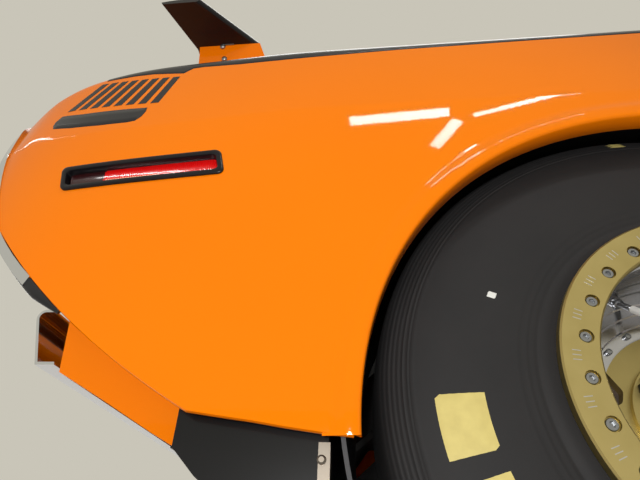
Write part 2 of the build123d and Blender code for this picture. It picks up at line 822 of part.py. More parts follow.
# Propeller shaft from the pinion flange forward, in its tunnel
shaft_start = (256, pinion_z)
shaft_end = (cut_fwd, pinion_z - 28)
shaft_run = Vector(shaft_end[0] - shaft_start[0], 0, shaft_end[1] - shaft_start[1])
shaft_plane = Plane((axle_x + shaft_start[0], 0, axle_z + shaft_start[1]), x_dir=(0, 1, 0),
                    z_dir=shaft_run.normalized())
with BuildPart() as shaft:
    with BuildSketch(shaft_plane.offset(34)):
        Circle(shaft_tube_r)
    extrude(amount=shaft_run.length - 44)
    with BuildSketch(shaft_plane.offset(clear)):
        Rectangle(60, 30)
    extrude(amount=44)
    with Locations(shaft_plane.offset(22)):
        Cylinder(14, 84, rotation=(90, 0, 0))
        Cylinder(14, 84, rotation=(0, 90, 0))
save(shaft.part, "propeller_shaft")

# Exhaust: a pipe and an oval muffler each side, turned down ahead of the axle, hung from the floor
with BuildPart() as exhaust:
    muffler_x = (muffler_front + muffler_rear) / 2
    with BuildSketch(cross_plane(muffler_rear)):
        with Locations((pipe_y, pipe_z + muffler_high / 4)):
            SlotOverall(muffler_wide, muffler_high)
    extrude(amount=-(muffler_front - muffler_rear))
    fillet(exhaust.faces().filter_by(Axis.X).edges(), 6)
    with Locations(spot((muffler_front + cut_fwd) / 2 - 10, -pipe_y, pipe_z)):
        Cylinder(pipe_r, cut_fwd - muffler_front + 18, rotation=(0, 90, 0))
    with BuildSketch(cross_plane(muffler_rear + 4)):
        with Locations((pipe_y, pipe_z + 10)):
            Circle(pipe_r)
    revolve(axis=Axis((axle_x + muffler_rear + 4, 0, axle_z + pipe_z + 10 - 60), (0, 1, 0)),
            revolution_arc=-60)
    for x in (muffler_front - 30, muffler_rear + 30):
        with Locations(spot(x, -pipe_y, pipe_z + muffler_high * 3 / 4)):
            Box(24, 40, 2 * (front_floor_z - sheet / 2 - clear - pipe_z - muffler_high * 3 / 4))
save(both_sides(exhaust.part), "exhaust")

# Leaf springs under the axle, and dampers from the axle to a crossmember
with BuildPart() as spring:
    for k, reach in enumerate((1, 0.74, 0.52, 0.3)):
        low = -56 - k * leaf
        with BuildSketch(side_plane(-spring_y)):
            with BuildLine() as leaf_line:
                ThreePointArc((spring_front * reach, low - 52 * reach ** 2), (0, low),
                              (spring_rear * reach, low + 20 * reach ** 2))
            trace(leaf_line.line, line_width=leaf + clear)
        extrude(amount=spring_wide / 2, both=True)
    with Locations(spot(spring_front, -spring_y, -axle_z)):
        Cylinder(eye_r, spring_wide, rotation=(90, 0, 0))
    with Locations(spot(spring_rear, -spring_y, -36)):
        Cylinder(18, spring_wide, rotation=(90, 0, 0))
    for y in (-1, 1):
        with Locations(spot(spring_rear, -spring_y + y * (spring_wide / 2 + 4), 4)):
            Box(30, 8, 112)
    with Locations(spot(0, -spring_y, -64)):
        Box(120, spring_wide + 20, 62)
    with Locations(spot(0, -spring_y, 0)):
        Cylinder(tube_r + clear, spring_wide + 40, rotation=(90, 0, 0), mode=Mode.SUBTRACT)
    with Locations(spot(spring_front, -spring_y, -axle_z)):
        Cylinder(cross_r + clear, spring_wide + 2, rotation=(90, 0, 0), mode=Mode.SUBTRACT)
    with Locations(spot(spring_rear, -spring_y, 45)):
        Cylinder(10 + clear, 200, rotation=(90, 0, 0), mode=Mode.SUBTRACT)
save(both_sides(spring.part), "leaf_springs")
run = Vector(damper_top[0] - damper_foot[0], 0, damper_top[1] - damper_foot[1])
damper_plane = Plane((axle_x + damper_foot[0], -damper_y, axle_z + damper_foot[1]),
                     x_dir=(0, 1, 0), z_dir=run.normalized())
with BuildPart() as damper:
    with BuildSketch(damper_plane.offset(24)):
        Circle(20)
    extrude(amount=run.length * 0.5)
    with BuildSketch(damper_plane.offset(24 + run.length * 0.25)):
        Circle(25)
    extrude(amount=run.length * 0.42)
    with BuildSketch(damper_plane.offset(24)):
        Circle(8)
    extrude(amount=run.length - 24 - cross_r + 2)
    with Locations(spot(damper_top[0], -damper_y, damper_top[1])):
        Cylinder(cross_r + clear, 80, rotation=(90, 0, 0), mode=Mode.SUBTRACT)
    add(axle.part, mode=Mode.SUBTRACT)
save(both_sides(damper.part), "dampers")


# Wheels: everything turned about the axle, drawn as half sections out from the middle of the car
def turned(*points):
    """A ring or disc with straight sides, turned about the axle on the right."""
    with BuildPart() as ring:
        with BuildSketch(cross_plane(0)):
            with BuildLine():
                Polyline(*points, close=True)
            make_face()
        revolve(axis=axle_line)
    return ring.part


def wheel_face(y):
    """A plane square to the axle, facing out on the right."""
    return Plane((axle_x, -y, axle_z), x_dir=(1, 0, 0), z_dir=(0, -1, 0))


ring_back = ring_face - ring_thick
with BuildPart() as tyre:
    with BuildSketch(cross_plane(0)):
        with BuildLine():
            Polyline((ring_back - 1, bead_r + 1), (ring_back - 1, 208), (879, 222))
            ThreePointArc((879, 222), (878, 300), (861, 380))
            ThreePointArc((861, 380), (852, 395), (835, 402))
            ThreePointArc((835, 402), (705, tyre_r), (575, 402))
            ThreePointArc((575, 402), (558, 395), (549, 380))
            ThreePointArc((549, 380), (532, 300), (531, 222))
            Polyline((531, 222), (545, 207), (545, bead_r + 1), (557, bead_r + 1), (557, 213))
            ThreePointArc((557, 213), (545, 300), (562, 374))
            Polyline((562, 374), (584, 391), (826, 391), (848, 374))
            ThreePointArc((848, 374), (865, 300), (866, 222))
            Polyline((866, 222), (876, 210), (876, bead_r + 1), (ring_back - 1, bead_r + 1))
        make_face()
    revolve(axis=axle_line)
pair(tyre.part, "tyre")
barrel = turned(
    (ring_back, 176), (ring_back, bead_r + 1 - clear), (852, bead_r + 1 - clear), (840, 183), (604, 183),
    (588, bead_r + 1 - clear), (544, bead_r + 1 - clear), (544, 204), (537, 204), (537, 184), (584, 184),
    (600, disc_r), (818, disc_r), (820, 171), (858, 171), (861, 176))
pair(barrel, "wheel_barrel")
with BuildPart() as ring:
    with BuildSketch(wheel_face(ring_back)):
        Circle(ring_out_r)
        Circle(ring_in_r, mode=Mode.SUBTRACT)
    extrude(amount=ring_thick)
    chamfer(ring.faces().sort_by(Axis.Y)[0].edges(), 2)
    with BuildSketch(wheel_face(ring_face)):
        with PolarLocations(ring_bolt_r, ring_bolts):
            Circle(8)
    extrude(amount=-6, mode=Mode.SUBTRACT)
pair(ring.part, "beadlock_ring")
with BuildSketch() as window:
    with BuildLine():
        Line((window_out_r - 8, -window_half), (window_in_r, -8))
        Line((window_in_r, -8), (window_in_r, 8))
        Line((window_in_r, 8), (window_out_r - 8, window_half))
        ThreePointArc((window_out_r - 8, window_half), (window_out_r + 8, 0), (window_out_r - 8, -window_half))
    make_face()
    fillet(window.vertices(), 9)
with BuildPart() as centre:
    with BuildSketch(wheel_face(disc_face - disc_thick)):
        Circle(disc_r)
        with PolarLocations(0, windows, start_angle=90):
            add(window.sketch, mode=Mode.SUBTRACT)
    extrude(amount=disc_thick)
    with BuildSketch(wheel_face(disc_face)):
        Circle(80)
        Circle(34, mode=Mode.SUBTRACT)
    extrude(amount=8)
    with BuildSketch(wheel_face(disc_face + 8)):
        with PolarLocations(lug_circle_r, lugs):
            Circle(18)
    extrude(amount=-10, mode=Mode.SUBTRACT)
    with BuildSketch(wheel_face(disc_face)):
        Circle(30)
    extrude(amount=22)
pair(centre.part, "wheel_centre")
with BuildPart() as nuts:
    with BuildSketch(wheel_face(disc_face - 2)):
        with PolarLocations(lug_circle_r, lugs):
            RegularPolygon(lug_flats / 2, 6, major_radius=False)
    extrude(amount=lug_long)
    chamfer(nuts.faces().filter_by(Axis.Y).group_by(Axis.Y)[0].edges(), 1.5)
pair(nuts.part, "lug_nuts")
drum = turned(
    (disc_face - disc_thick, 0), (disc_face - disc_thick, drum_r - 6), (disc_face - disc_thick - 6, drum_r),
    (drum_in, drum_r), (drum_in, drum_r - 8), (disc_face - disc_thick - 12, drum_r - 8),
    (disc_face - disc_thick - 12, shaft_r), (drum_in - 40, shaft_r), (drum_in - 40, 0))
pair(drum, "brake_drum")
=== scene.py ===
import math

import bmesh
import bpy
from mathutils import Matrix, Vector


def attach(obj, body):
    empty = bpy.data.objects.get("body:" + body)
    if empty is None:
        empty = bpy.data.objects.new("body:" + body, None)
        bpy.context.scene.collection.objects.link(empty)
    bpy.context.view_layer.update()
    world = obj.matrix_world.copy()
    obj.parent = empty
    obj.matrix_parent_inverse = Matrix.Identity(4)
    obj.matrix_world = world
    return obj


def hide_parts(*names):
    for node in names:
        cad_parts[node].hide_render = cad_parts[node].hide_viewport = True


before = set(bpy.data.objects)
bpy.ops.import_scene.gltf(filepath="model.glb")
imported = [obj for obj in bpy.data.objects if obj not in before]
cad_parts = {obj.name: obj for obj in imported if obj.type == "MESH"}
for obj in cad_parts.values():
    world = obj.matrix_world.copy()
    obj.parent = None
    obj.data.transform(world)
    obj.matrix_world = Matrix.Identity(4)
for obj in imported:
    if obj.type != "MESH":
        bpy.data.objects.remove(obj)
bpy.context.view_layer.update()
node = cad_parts

# Rear body section of a muscle car, seen from low down beside its right rear wheel.

# ---------------------------------------------------------------------------
# Camera: low beside the rear wheel, near floor level, looking up along the flank
# with a wide lens.
camera_data = bpy.data.cameras.new("camera")
camera_data.sensor_width = 36
camera_data.lens = 26.99
camera_data.clip_start = 0.05
camera = bpy.data.objects.new("camera", camera_data)
bpy.context.scene.collection.objects.link(camera)
camera.matrix_world = Matrix((
    # columns: its right, its up, its back, its place in metres
    (0.9943398, 0.0244719, 0.1033900, -1.10518),
    (0.0983013, -0.5811362, -0.8078475, -1.41667),
    (0.0403141, 0.8134383, -0.5802525, -0.07587),
    (0, 0, 0, 1)))
bpy.context.scene.camera = camera
bpy.context.scene.view_settings.view_transform = "Standard"


# ---------------------------------------------------------------------------
# Studio: a pale plain floor under the tyres, a pale room that metal and glass reflect,
# soft lamps overhead and beside the car, and a small flash low down. Its places are in
# metres, in the part's own frame.
def paint_colour(code):
    """An sRGB hex colour as the linear values that a shader socket takes."""
    parts = [int(code[k:k + 2], 16) / 255 for k in (1, 3, 5)]
    return tuple(c / 12.92 if c <= 0.04045 else ((c + 0.055) / 1.055) ** 2.4
                 for c in parts) + (1,)


def add_node(tree, kind, settings=None, **links):
    """Adds one shader node, sets its fields and sockets, and links inputs from other nodes."""
    made = tree.nodes.new("ShaderNode" + kind)
    for key, value in (settings or {}).items():
        if isinstance(key, str) and key.islower():
            setattr(made, key, value)
        else:
            made.inputs[key].default_value = value
    for key, source in links.items():
        index = int(key[3:]) if key.startswith("in_") else key.replace("_", " ")
        tree.links.new(source, made.inputs[index])
    return made


def blank_material(name):
    """An empty material and its node tree."""
    material = bpy.data.materials.new(name)
    material.use_nodes = True
    material.node_tree.nodes.clear()
    return material, material.node_tree


def link_object(name, mesh, materials):
    """A new object with its mesh and materials, linked into the scene."""
    made = bpy.data.objects.new(name, mesh)
    for material in materials:
        made.data.materials.append(material)
    bpy.context.scene.collection.objects.link(made)
    return made


# Room: one pale colour where it is seen directly, through glass or in a reflection, and
# a weaker, whiter one as the light that it gives the car.
world = bpy.data.worlds.new("pale_room")
bpy.context.scene.world = world
world.use_nodes = True
world.node_tree.nodes.clear()
room = world.node_tree
rays = add_node(room, "LightPath")
seen = add_node(room, "Math", {"operation": "MAXIMUM"}, in_0=rays.outputs["Is Camera Ray"],
                in_1=rays.outputs["Is Transmission Ray"])
seen = add_node(room, "Math", {"operation": "MAXIMUM"}, in_0=seen.outputs[0],
                in_1=rays.outputs["Is Glossy Ray"])
room_light = add_node(room, "Background", {"Color": paint_colour("#F2EEE6"), "Strength": 0.5})
room_seen = add_node(room, "Background", {"Color": paint_colour("#C9C5B8"), "Strength": 1.0})
room_mix = add_node(room, "MixShader", {}, in_0=seen.outputs[0], in_1=room_light.outputs[0],
                    in_2=room_seen.outputs[0])
add_node(room, "OutputWorld", {}, Surface=room_mix.outputs[0])

# Floor: pale matt paint, with faint clouds about 700 mm wide that keep it from looking
# flat.
FLOOR_HALF = 14
FLOOR_Z = -0.3
floor_paint, tree = blank_material("pale_floor")
clouds = add_node(tree, "TexNoise", {"Scale": 40.0})
tone = add_node(tree, "Mix", {"data_type": "RGBA", 6: paint_colour("#C9C9C6"),
                              7: paint_colour("#D2D2CF")}, Factor=clouds.outputs["Fac"])
matt = add_node(tree, "BsdfPrincipled", {"Roughness": 0.7}, Base_Color=tone.outputs[2])
add_node(tree, "OutputMaterial", {}, Surface=matt.outputs[0])
floor_mesh = bpy.data.meshes.new("studio_floor")
floor_mesh.from_pydata([(x * FLOOR_HALF, y * FLOOR_HALF, FLOOR_Z)
                        for x, y in ((-1, -1), (1, -1), (1, 1), (-1, 1))], [], [(0, 1, 2, 3)])
studio_floor = link_object("studio_floor", floor_mesh, [floor_paint])

lamps = (
    # name, place, aimed at, width, height, watts, turn about its own aim in degrees
    ("overhead_lamp", (-0.8, 0.3, 4.2), (-0.8, 0.1, 0.3), 3.0, 1.6, 60, 0),
    ("tail_lamp_fill", (-4.2, 1.3, 1.5), (-1.7, 0.0, 0.2), 1.8, 1.6, 34, 0),
    ("left_lamp_fill", (-0.6, 4.4, 1.6), (-0.8, 0.8, 0.2), 2.4, 1.8, 60, 0),
    # Narrow tubes, which show as white streaks in the lacquer.
    ("long_tube", (-0.9, -2.58, 2.37), (-1.055, -0.926, 0.50), 0.64, 0.085, 7, 0),
    ("slanted_tube", (-0.605, -2.675, 2.2), (-0.995, -0.926, 0.457), 0.29, 0.075, 2.6, 51),
    ("thin_tube", (-0.14, -2.46, 2.35), (-0.866, -0.926, 0.52), 0.64, 0.035, 2.6, 0),
    ("far_tube", (-3.38, -1.25, 2.12), (-1.634, -0.9, 0.525), 1.2, 0.008, 0.5, 14.7),
)
for name, place, aim, wide, high, watts, turn in lamps:
    light = bpy.data.lights.new(name, "AREA")
    light.shape = "RECTANGLE"
    light.size = wide
    light.size_y = high
    light.energy = watts
    lamp = bpy.data.objects.new(name, light)
    lamp.location = place
    facing = (Vector(aim) - Vector(place)).to_track_quat("-Z", "Y").to_matrix()
    lamp.rotation_euler = (facing @ Matrix.Rotation(math.radians(turn), 3, "Z")).to_euler()
    bpy.context.scene.collection.objects.link(lamp)

# The flash, beside the camera, lights the flank most strongly abreast of it.
flash_light = bpy.data.lights.new("low_flash", "SPOT")
flash_light.energy = 54
flash_light.spot_size = math.radians(64)
flash_light.spot_blend = 0.6
flash_light.shadow_soft_size = 0.12
flash = bpy.data.objects.new("low_flash", flash_light)
flash.location = (-1.22, -2.2, -0.16)
flash_aim = Vector((-1.2, -0.93, 0.24)) - flash.location
flash.rotation_euler = flash_aim.to_track_quat("-Z", "Y").to_euler()
bpy.context.scene.collection.objects.link(flash)

# ---------------------------------------------------------------------------
# Quarter panels: deep drawn steel skins with a crease along the flank, rolled over
# at the shoulder, hemmed along their lower edges and cut round the wheel arch. They
# are welded to the body and sprayed in gloss orange lacquer.

# Sizes are in millimetres from the middle of the rear axle: x forward, y to the left,
# z up. The part's own frame has the axle at these places.
AXLE_X = -700
AXLE_Z = 108


def at(x, y, z):
    """A place measured from the axle, as a point of the part's frame in metres."""
    return Vector(((AXLE_X + x) / 1000, y / 1000, (AXLE_Z + z) / 1000))


def finish(name, colours, surface, drift=None, dull=None, grain=None):
    """A material from its shader's settings, patterned by noise over the object.

    Of two colours, the first drifts into the second by the noise called drift, and dull
    gives the range of a roughness that follows it. grain is a second, fine noise and the
    relief that it raises. A noise's Scale is 1000 divided by its patches' size in mm.
    """
    material, tree = blank_material(name)
    place = add_node(tree, "TexCoord").outputs["Object"]
    links = {}
    if drift:
        patches = add_node(tree, "TexNoise", drift, Vector=place).outputs["Fac"]
    if len(colours) == 2:
        tone = add_node(tree, "Mix", {"data_type": "RGBA", 6: paint_colour(colours[0]),
                                      7: paint_colour(colours[1])}, Factor=patches)
        links["Base_Color"] = tone.outputs[2]
    else:
        surface = {"Base Color": paint_colour(colours[0]), **surface}
    if dull:
        links["Roughness"] = add_node(tree, "MapRange", dull, Value=patches).outputs[0]
    if grain:
        bumps = add_node(tree, "TexNoise", grain[0], Vector=place)
        relief = add_node(tree, "Bump", grain[1], Height=bumps.outputs["Fac"])
        links["Normal"] = relief.outputs[0]
        if "Coat Weight" in surface:
            links["Coat_Normal"] = relief.outputs[0]
    shader = add_node(tree, "BsdfPrincipled", surface, **links)
    add_node(tree, "OutputMaterial", {}, Surface=shader.outputs[0])
    return material


# Orange acrylic lacquer, sprayed under clear coat: an even, deep gloss over a flat
# colour, with the faintest ripple of orange peel, about 3 mm from crest to crest.
body_lacquer = finish(
    "orange_lacquer", ("#EE7700", "#F47F00"),
    {"Roughness": 0.5, "Specular IOR Level": 0.0, "Coat Weight": 1.0, "Coat Roughness": 0.03,
     "Coat IOR": 1.25},
    drift={"Scale": 2.2, "Detail": 2.0},
    grain=({"Scale": 330.0, "Detail": 1.0}, {"Strength": 0.02, "Distance": 0.0004}))

LEAN = math.radians(6)
SKIN = 12
BOTTOM_Z = -140
STATIONS = (
    # ahead of axle, half width at BOTTOM_Z, at the crease, at the shoulder, the heights of
    # the crease and the shoulder, the roll's radius
    (700, 872, 926, 914, 428, 588.9, 40),
    (-475, 872, 926, 914, 428, 588.9, 40),
    (-660, 866, 922, 910.1, 418, 584.9, 40),
    (-860, 852, 911, 899.1, 411, 574.9, 40),
    (-985, 836, 893, 881.6, 404, 532.9, 50),
    (-1065, 812, 866, 853.9, 388, 429, 60),
)


def station_at(x):
    """The body's section at x: the sizes of the stations on each side, joined smoothly."""
    if x >= STATIONS[1][0]:
        return STATIONS[1][1:]
    last = len(STATIONS) - 1
    k = next(i for i in range(2, last + 1) if x >= STATIONS[i][0] or i == last) - 1
    x0, x1 = STATIONS[k][0], STATIONS[k + 1][0]
    t = (x - x0) / (x1 - x0)
    values = []
    for j in range(1, len(STATIONS[0])):
        slopes = []
        for i in (k, k + 1):
            before, after = STATIONS[i - 1], STATIONS[min(i + 1, last)]
            slopes.append((after[j] - before[j]) / (after[0] - before[0]) if i > 1 else 0)
        a, b = STATIONS[k][j], STATIONS[k + 1][j]
        m0, m1 = slopes[0] * (x1 - x0), slopes[1] * (x1 - x0)
        values.append((2 * t ** 3 - 3 * t ** 2 + 1) * a + (t ** 3 - 2 * t ** 2 + t) * m0
                      + (3 * t ** 2 - 2 * t ** 3) * b + (t ** 3 - t ** 2) * m1)
    return values


def flank(x, z, out=0):
    """The point of the right flank at x and height z, moved out square to the skin by out."""
    y_bottom, y_crease, y_shoulder, z_crease, z_shoulder, roll_r = station_at(x)
    y_roll = y_shoulder - roll_r * math.cos(LEAN)
    z_roll = z_shoulder - roll_r * math.sin(LEAN)
    if z <= z_crease:
        rise = z_crease - BOTTOM_Z
        bulge = y_crease - y_bottom
        big_r = (bulge ** 2 + rise ** 2) / (2 * bulge)
        y = y_crease - big_r + math.sqrt(big_r ** 2 - (z_crease - z) ** 2)
        normal_y, normal_z = (y - y_crease + big_r) / big_r, (z - z_crease) / big_r
    elif z <= z_shoulder:
        share = (z - z_crease) / (z_shoulder - z_crease)
        y = y_crease + (y_shoulder - y_crease) * share
        run = math.hypot(z_shoulder - z_crease, y_crease - y_shoulder)
        normal_y, normal_z = (z_shoulder - z_crease) / run, (y_crease - y_shoulder) / run
    else:
        angle = math.asin(min(1, (z - z_roll) / roll_r))
        y = y_roll + roll_r * math.cos(angle)
        normal_y, normal_z = math.cos(angle), math.sin(angle)
    return at(x, -(y + normal_y * out), z + normal_z * out)


def through_three(a, b, c, count):
    """Points along the arc through three places."""
    d = 2 * (a[0] * (b[1] - c[1]) + b[0] * (c[1] - a[1]) + c[0] * (a[1] - b[1]))
    sq = [p[0] ** 2 + p[1] ** 2 for p in (a, b, c)]
    cx = (sq[0] * (b[1] - c[1]) + sq[1] * (c[1] - a[1]) + sq[2] * (a[1] - b[1])) / d
    cz = (sq[0] * (c[0] - b[0]) + sq[1] * (a[0] - c[0]) + sq[2] * (b[0] - a[0])) / d
    angles = [math.atan2(p[1] - cz, p[0] - cx) for p in (a, b, c)]
    for k in (1, 2):
        while angles[k] - angles[k - 1] > math.pi:
            angles[k] -= 2 * math.pi
        while angles[k] - angles[k - 1] < -math.pi:
            angles[k] += 2 * math.pi
    r = math.hypot(a[0] - cx, a[1] - cz)
    turns = [angles[0] + (angles[2] - angles[0]) * k / count for k in range(count + 1)]
    return [(cx + r * math.cos(turn), cz + r * math.sin(turn)) for turn in turns]


def faces_over(rows, columns, closed=False, looped=False):
    """Faces over rows of points; closed joins each row's ends, looped the last row to the first."""
    faces = []
    for i in range(rows if looped else rows - 1):
        first, second = i * columns, (i + 1) % rows * columns
        for j in range(columns if closed else columns - 1):
            k = (j + 1) % columns
            faces.append((first + j, first + k, second + k, second + j))
    return faces


WELD = 0.00004  # metres


def outline_mesh(name, points, faces, materials, smooth_angle=30):
    """A mesh object from points and faces, with smooth shading up to an angle.

    Points that lie within WELD of each other become one.
    """
    made = bpy.data.meshes.new(name)
    made.from_pydata(points, [], faces)
    work = bmesh.new()
    work.from_mesh(made)
    bmesh.ops.remove_doubles(work, verts=work.verts, dist=WELD)
    bmesh.ops.dissolve_degenerate(work, edges=work.edges, dist=WELD)
    bmesh.ops.recalc_face_normals(work, faces=work.faces)
    work.to_mesh(made)
    work.free()
    made.shade_smooth()
    made.set_sharp_from_angle(angle=math.radians(smooth_angle))
    return link_object(name, made, materials)


def both_sides(piece):
    """The piece of the right side, and a mirror image of it for the left, by their sides."""
    made = piece.data.copy()
    work = bmesh.new()
    work.from_mesh(made)
    for vert in work.verts:
        vert.co.y = -vert.co.y
    bmesh.ops.reverse_faces(work, faces=work.faces)
    work.to_mesh(made)
    work.free()
    image = bpy.data.objects.new(piece.name.replace("right", "left"), made)
    bpy.context.scene.collection.objects.link(image)
    return (("right", piece), ("left", image))


# The lower edge of the skin, from the front cut along the sill, over the arch and up
# the tail, where it runs through the places of TAIL_EDGE.
FRONT_CUT = 640
SILL_Z = -100
ARCH_X = -2
ARCH_Z = -45
ARCH_R = 417
SKIN_CUT_R = ARCH_R + 5
TAIL_EDGE = ((-616, -33), (-818, 98), (-953, 223), (-1022, 390), (-1045, 520))
TAIL_END = -1044
tail_run = through_three(*TAIL_EDGE[:3], 26) + through_three(*TAIL_EDGE[2:], 24)[1:]
lower_line = [(FRONT_CUT - 14 * k, SILL_Z) for k in range(16)] + [(418, SILL_Z)]
lower_line += [(ARCH_X + SKIN_CUT_R * math.cos(math.radians(a)),
                ARCH_Z + SKIN_CUT_R * math.sin(math.radians(a)))
               for a in [0.3] + list(range(2, 180, 2)) + [179.7]]
lower_line += [(-427, -57), (-460, -54), (-500, -49), (-540, -43), (-580, -38)]
lower_line = [p for p in lower_line + tail_run if p[0] > TAIL_END]

CREASE_SOFT = 3
LOW_ROWS, HIGH_ROWS, ROLL_ROWS = 26, 10, 18
TOP_INNER = 705
TOP_RISE = 5
HEM = ((1.6, -9.5), (2.2, -6), (1.6, -2.5))  # (below the edge, out from the skin's face)


def section_heights(x, low):
    """Heights up one section from its lower edge to the roll, closer together where it bends."""
    z_crease, z_shoulder, roll_r = station_at(x)[3:]
    z_roll = z_shoulder - roll_r * math.sin(LEAN)
    turn = math.radians(89.5) - LEAN
    flat = z_crease + CREASE_SOFT
    heights = [low + (z_crease - CREASE_SOFT - low) * (k / LOW_ROWS) for k in range(LOW_ROWS + 1)]
    heights += [z_crease, flat]
    heights += [flat + (z_shoulder - flat) * k / HIGH_ROWS for k in range(1, HIGH_ROWS + 1)]
    heights += [z_roll + roll_r * math.sin(LEAN + turn * k / ROLL_ROWS)
                for k in range(1, ROLL_ROWS + 1)]
    return [max(low, z) for z in heights]


# Each section goes up the outside, in over the top, back under it, down the inside and
# round the hem.
points = []
for x, low in lower_line:
    heights = section_heights(x, low)
    outside = [flank(x, z) for z in heights]
    top = outside[-1]
    reach = -TOP_INNER / 1000 - top.y
    over = [Vector((top.x, top.y + reach * k, top.z + TOP_RISE / 1000 * k))
            for k in (0.33, 0.66, 1)]
    under = [Vector((p.x, p.y, p.z - SKIN / 1000)) for p in over][::-1]
    inside = [flank(x, z, -SKIN) for z in heights][::-1]
    hem = [flank(x, low - down, out) for down, out in HEM]
    section = outside + over + under + inside + hem
    points += section
section_size = len(section)
faces = faces_over(len(lower_line), section_size, closed=True)
half = (section_size - len(HEM)) // 2
for end in (0, (len(lower_line) - 1) * section_size):
    far = end + section_size - len(HEM) - 1
    faces += [(end + j, end + j + 1, far - j - 1, far - j) for j in range(half - 1)]
quarter = outline_mesh("quarter_skin_right", points, faces, [body_lacquer], 28)

# The slot for the side marker leans with the lamp and is cut through the skin. Its sizes
# are from its middle.
MARKER_X = -750
MARKER_Z = 314.5
MARKER_TILT = math.radians(2.3)
MARKER_SLANT = 0.22
SLOT_LONG = 122
SLOT_HIGH = 19


def marker_place(along, up, out=0):
    """A point of the side marker: along its length, up from its middle, out from the skin."""
    along -= up * MARKER_SLANT
    x = MARKER_X + along * math.cos(MARKER_TILT) - up * math.sin(MARKER_TILT)
    z = MARKER_Z + along * math.sin(MARKER_TILT) + up * math.cos(MARKER_TILT)
    return flank(x, z, out)


cutter = outline_mesh("marker_cutter", [
    marker_place(sx * SLOT_LONG, sz * SLOT_HIGH, out) for out in (-30, 20)
    for sx, sz in ((-1, -1), (1, -1), (1, 1), (-1, 1))], [
    (0, 1, 2, 3), (7, 6, 5, 4), (0, 4, 5, 1), (1, 5, 6, 2), (2, 6, 7, 3), (3, 7, 4, 0)],
    [body_lacquer])
slot = quarter.modifiers.new("marker_slot", "BOOLEAN")
slot.object = cutter
slot.operation = "DIFFERENCE"
slot.solver = "EXACT"
bpy.context.view_layer.objects.active = quarter
bpy.ops.object.modifier_apply(modifier="marker_slot")
bpy.data.objects.remove(cutter)
quarter.data.shade_smooth()

# Arch lip: a flat rim rolled out of the skin round the arch, turned in over its edge.
# Each row is (out from the arch's edge, proud of the skin, a shift that buries its end).
LIP_WIDE = 34
LIP_PROUD = 3
LIP_DEEP = 26
LIP_STEPS = 120
LIP_START, LIP_TURN = -6, 187.6
lip_rows = [(LIP_WIDE + 8, 0.0, -1.0), (LIP_WIDE, 0.0, 0.1)]
lip_rows += [(LIP_WIDE - LIP_WIDE * 0.55 * k / 8,
              LIP_PROUD * (0.5 - 0.5 * math.cos(math.pi * k / 8)), 0.1) for k in range(1, 9)]
lip_rows += [(LIP_WIDE * 0.25, LIP_PROUD + 0.2, 0)]
lip_rows += [(5 - 5 * math.sin(math.radians(a)), LIP_PROUD - 5 + 5 * math.cos(math.radians(a)), 0)
             for a in (10, 25, 40, 55, 70, 85)]
lip_rows += [(0, -LIP_DEEP + 1.5, 0), (1.2, -LIP_DEEP, 0), (3, -LIP_DEEP + 1, 0), (4.5, -13, 0),
             (6, -11, 0)]
points = []
for k in range(LIP_STEPS + 1):
    angle = math.radians(LIP_START + LIP_TURN * k / LIP_STEPS)
    for wide, out, sink in lip_rows:
        x = ARCH_X + (ARCH_R + wide) * math.cos(angle)
        z = ARCH_Z + (ARCH_R + wide) * math.sin(angle)
        points.append(flank(x, max(z, SILL_Z), out + sink))
arch_lip = outline_mesh("arch_lip_right", points, faces_over(LIP_STEPS + 1, len(lip_rows)),
                        [body_lacquer], 50)

for side, piece in both_sides(quarter):
    piece.data.set_sharp_from_angle(angle=math.radians(28))
    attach(piece, "body_shell")
    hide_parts(f"quarter_{side}")
for side, piece in both_sides(arch_lip):
    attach(piece, "body_shell")

# ---------------------------------------------------------------------------
# Side stripe: cut vinyl film on the flank, in a dark charcoal. A band runs along the
# shoulder and drops at a slant over a block of slanted bars and a short lower bar.

# Cast vinyl film: nearly black and even, with a soft sheen under the lacquer's gloss.
# Its clouds are about 55 mm wide.
stripe_film = finish(
    "charcoal_vinyl_film", ("#1C1B1D", "#232224"),
    {"Roughness": 0.35, "Specular IOR Level": 0.25, "Coat Weight": 0.2, "Coat Roughness": 0.08},
    drift={"Scale": 18.0, "Detail": 3.0})

# How far the film stands proud of the skin, and its edges below it, to leave no gap.
FILM = 0.5
FILM_SUNK = -0.3


def film_patch(lower, upper, rows):
    """Points and faces of a patch of film between two lines of equal length, edges sunk."""
    patch = []
    for (x0, z0), (x1, z1) in zip(lower, upper):
        for j in range(rows + 1):
            out = FILM_SUNK if j in (0, rows) else FILM
            t = {1: 0.02, rows - 1: 0.98}.get(j, j / rows)
            patch.append(flank(x0 + (x1 - x0) * t, z0 + (z1 - z0) * t, out))
    return patch, faces_over(len(lower), rows + 1)


def joined(name, parts, materials, smooth_angle=40):
    """One object from several sets of points and faces."""
    points, faces = [], []
    for part_points, part_faces in parts:
        faces += [tuple(len(points) + v for v in f) for f in part_faces]
        points += part_points
    return outline_mesh(name, points, faces, materials, smooth_angle)


def line_of(a, b, count):
    """Evenly spaced places from a to b."""
    return [(a[0] + (b[0] - a[0]) * k / count, a[1] + (b[1] - a[1]) * k / count)
            for k in range(count + 1)]


def run_of(places):
    """A line through places, filled so that film along it follows the skin's curve."""
    run = []
    for a, b in zip(places, places[1:]):
        run += line_of(a, b, 6)[:-1]
    return run + [places[-1]]


def top_of(x):
    """The height of the roll's top at x."""
    z_shoulder, roll_r = station_at(x)[4:]
    return z_shoulder + roll_r * (1 - math.sin(LEAN))


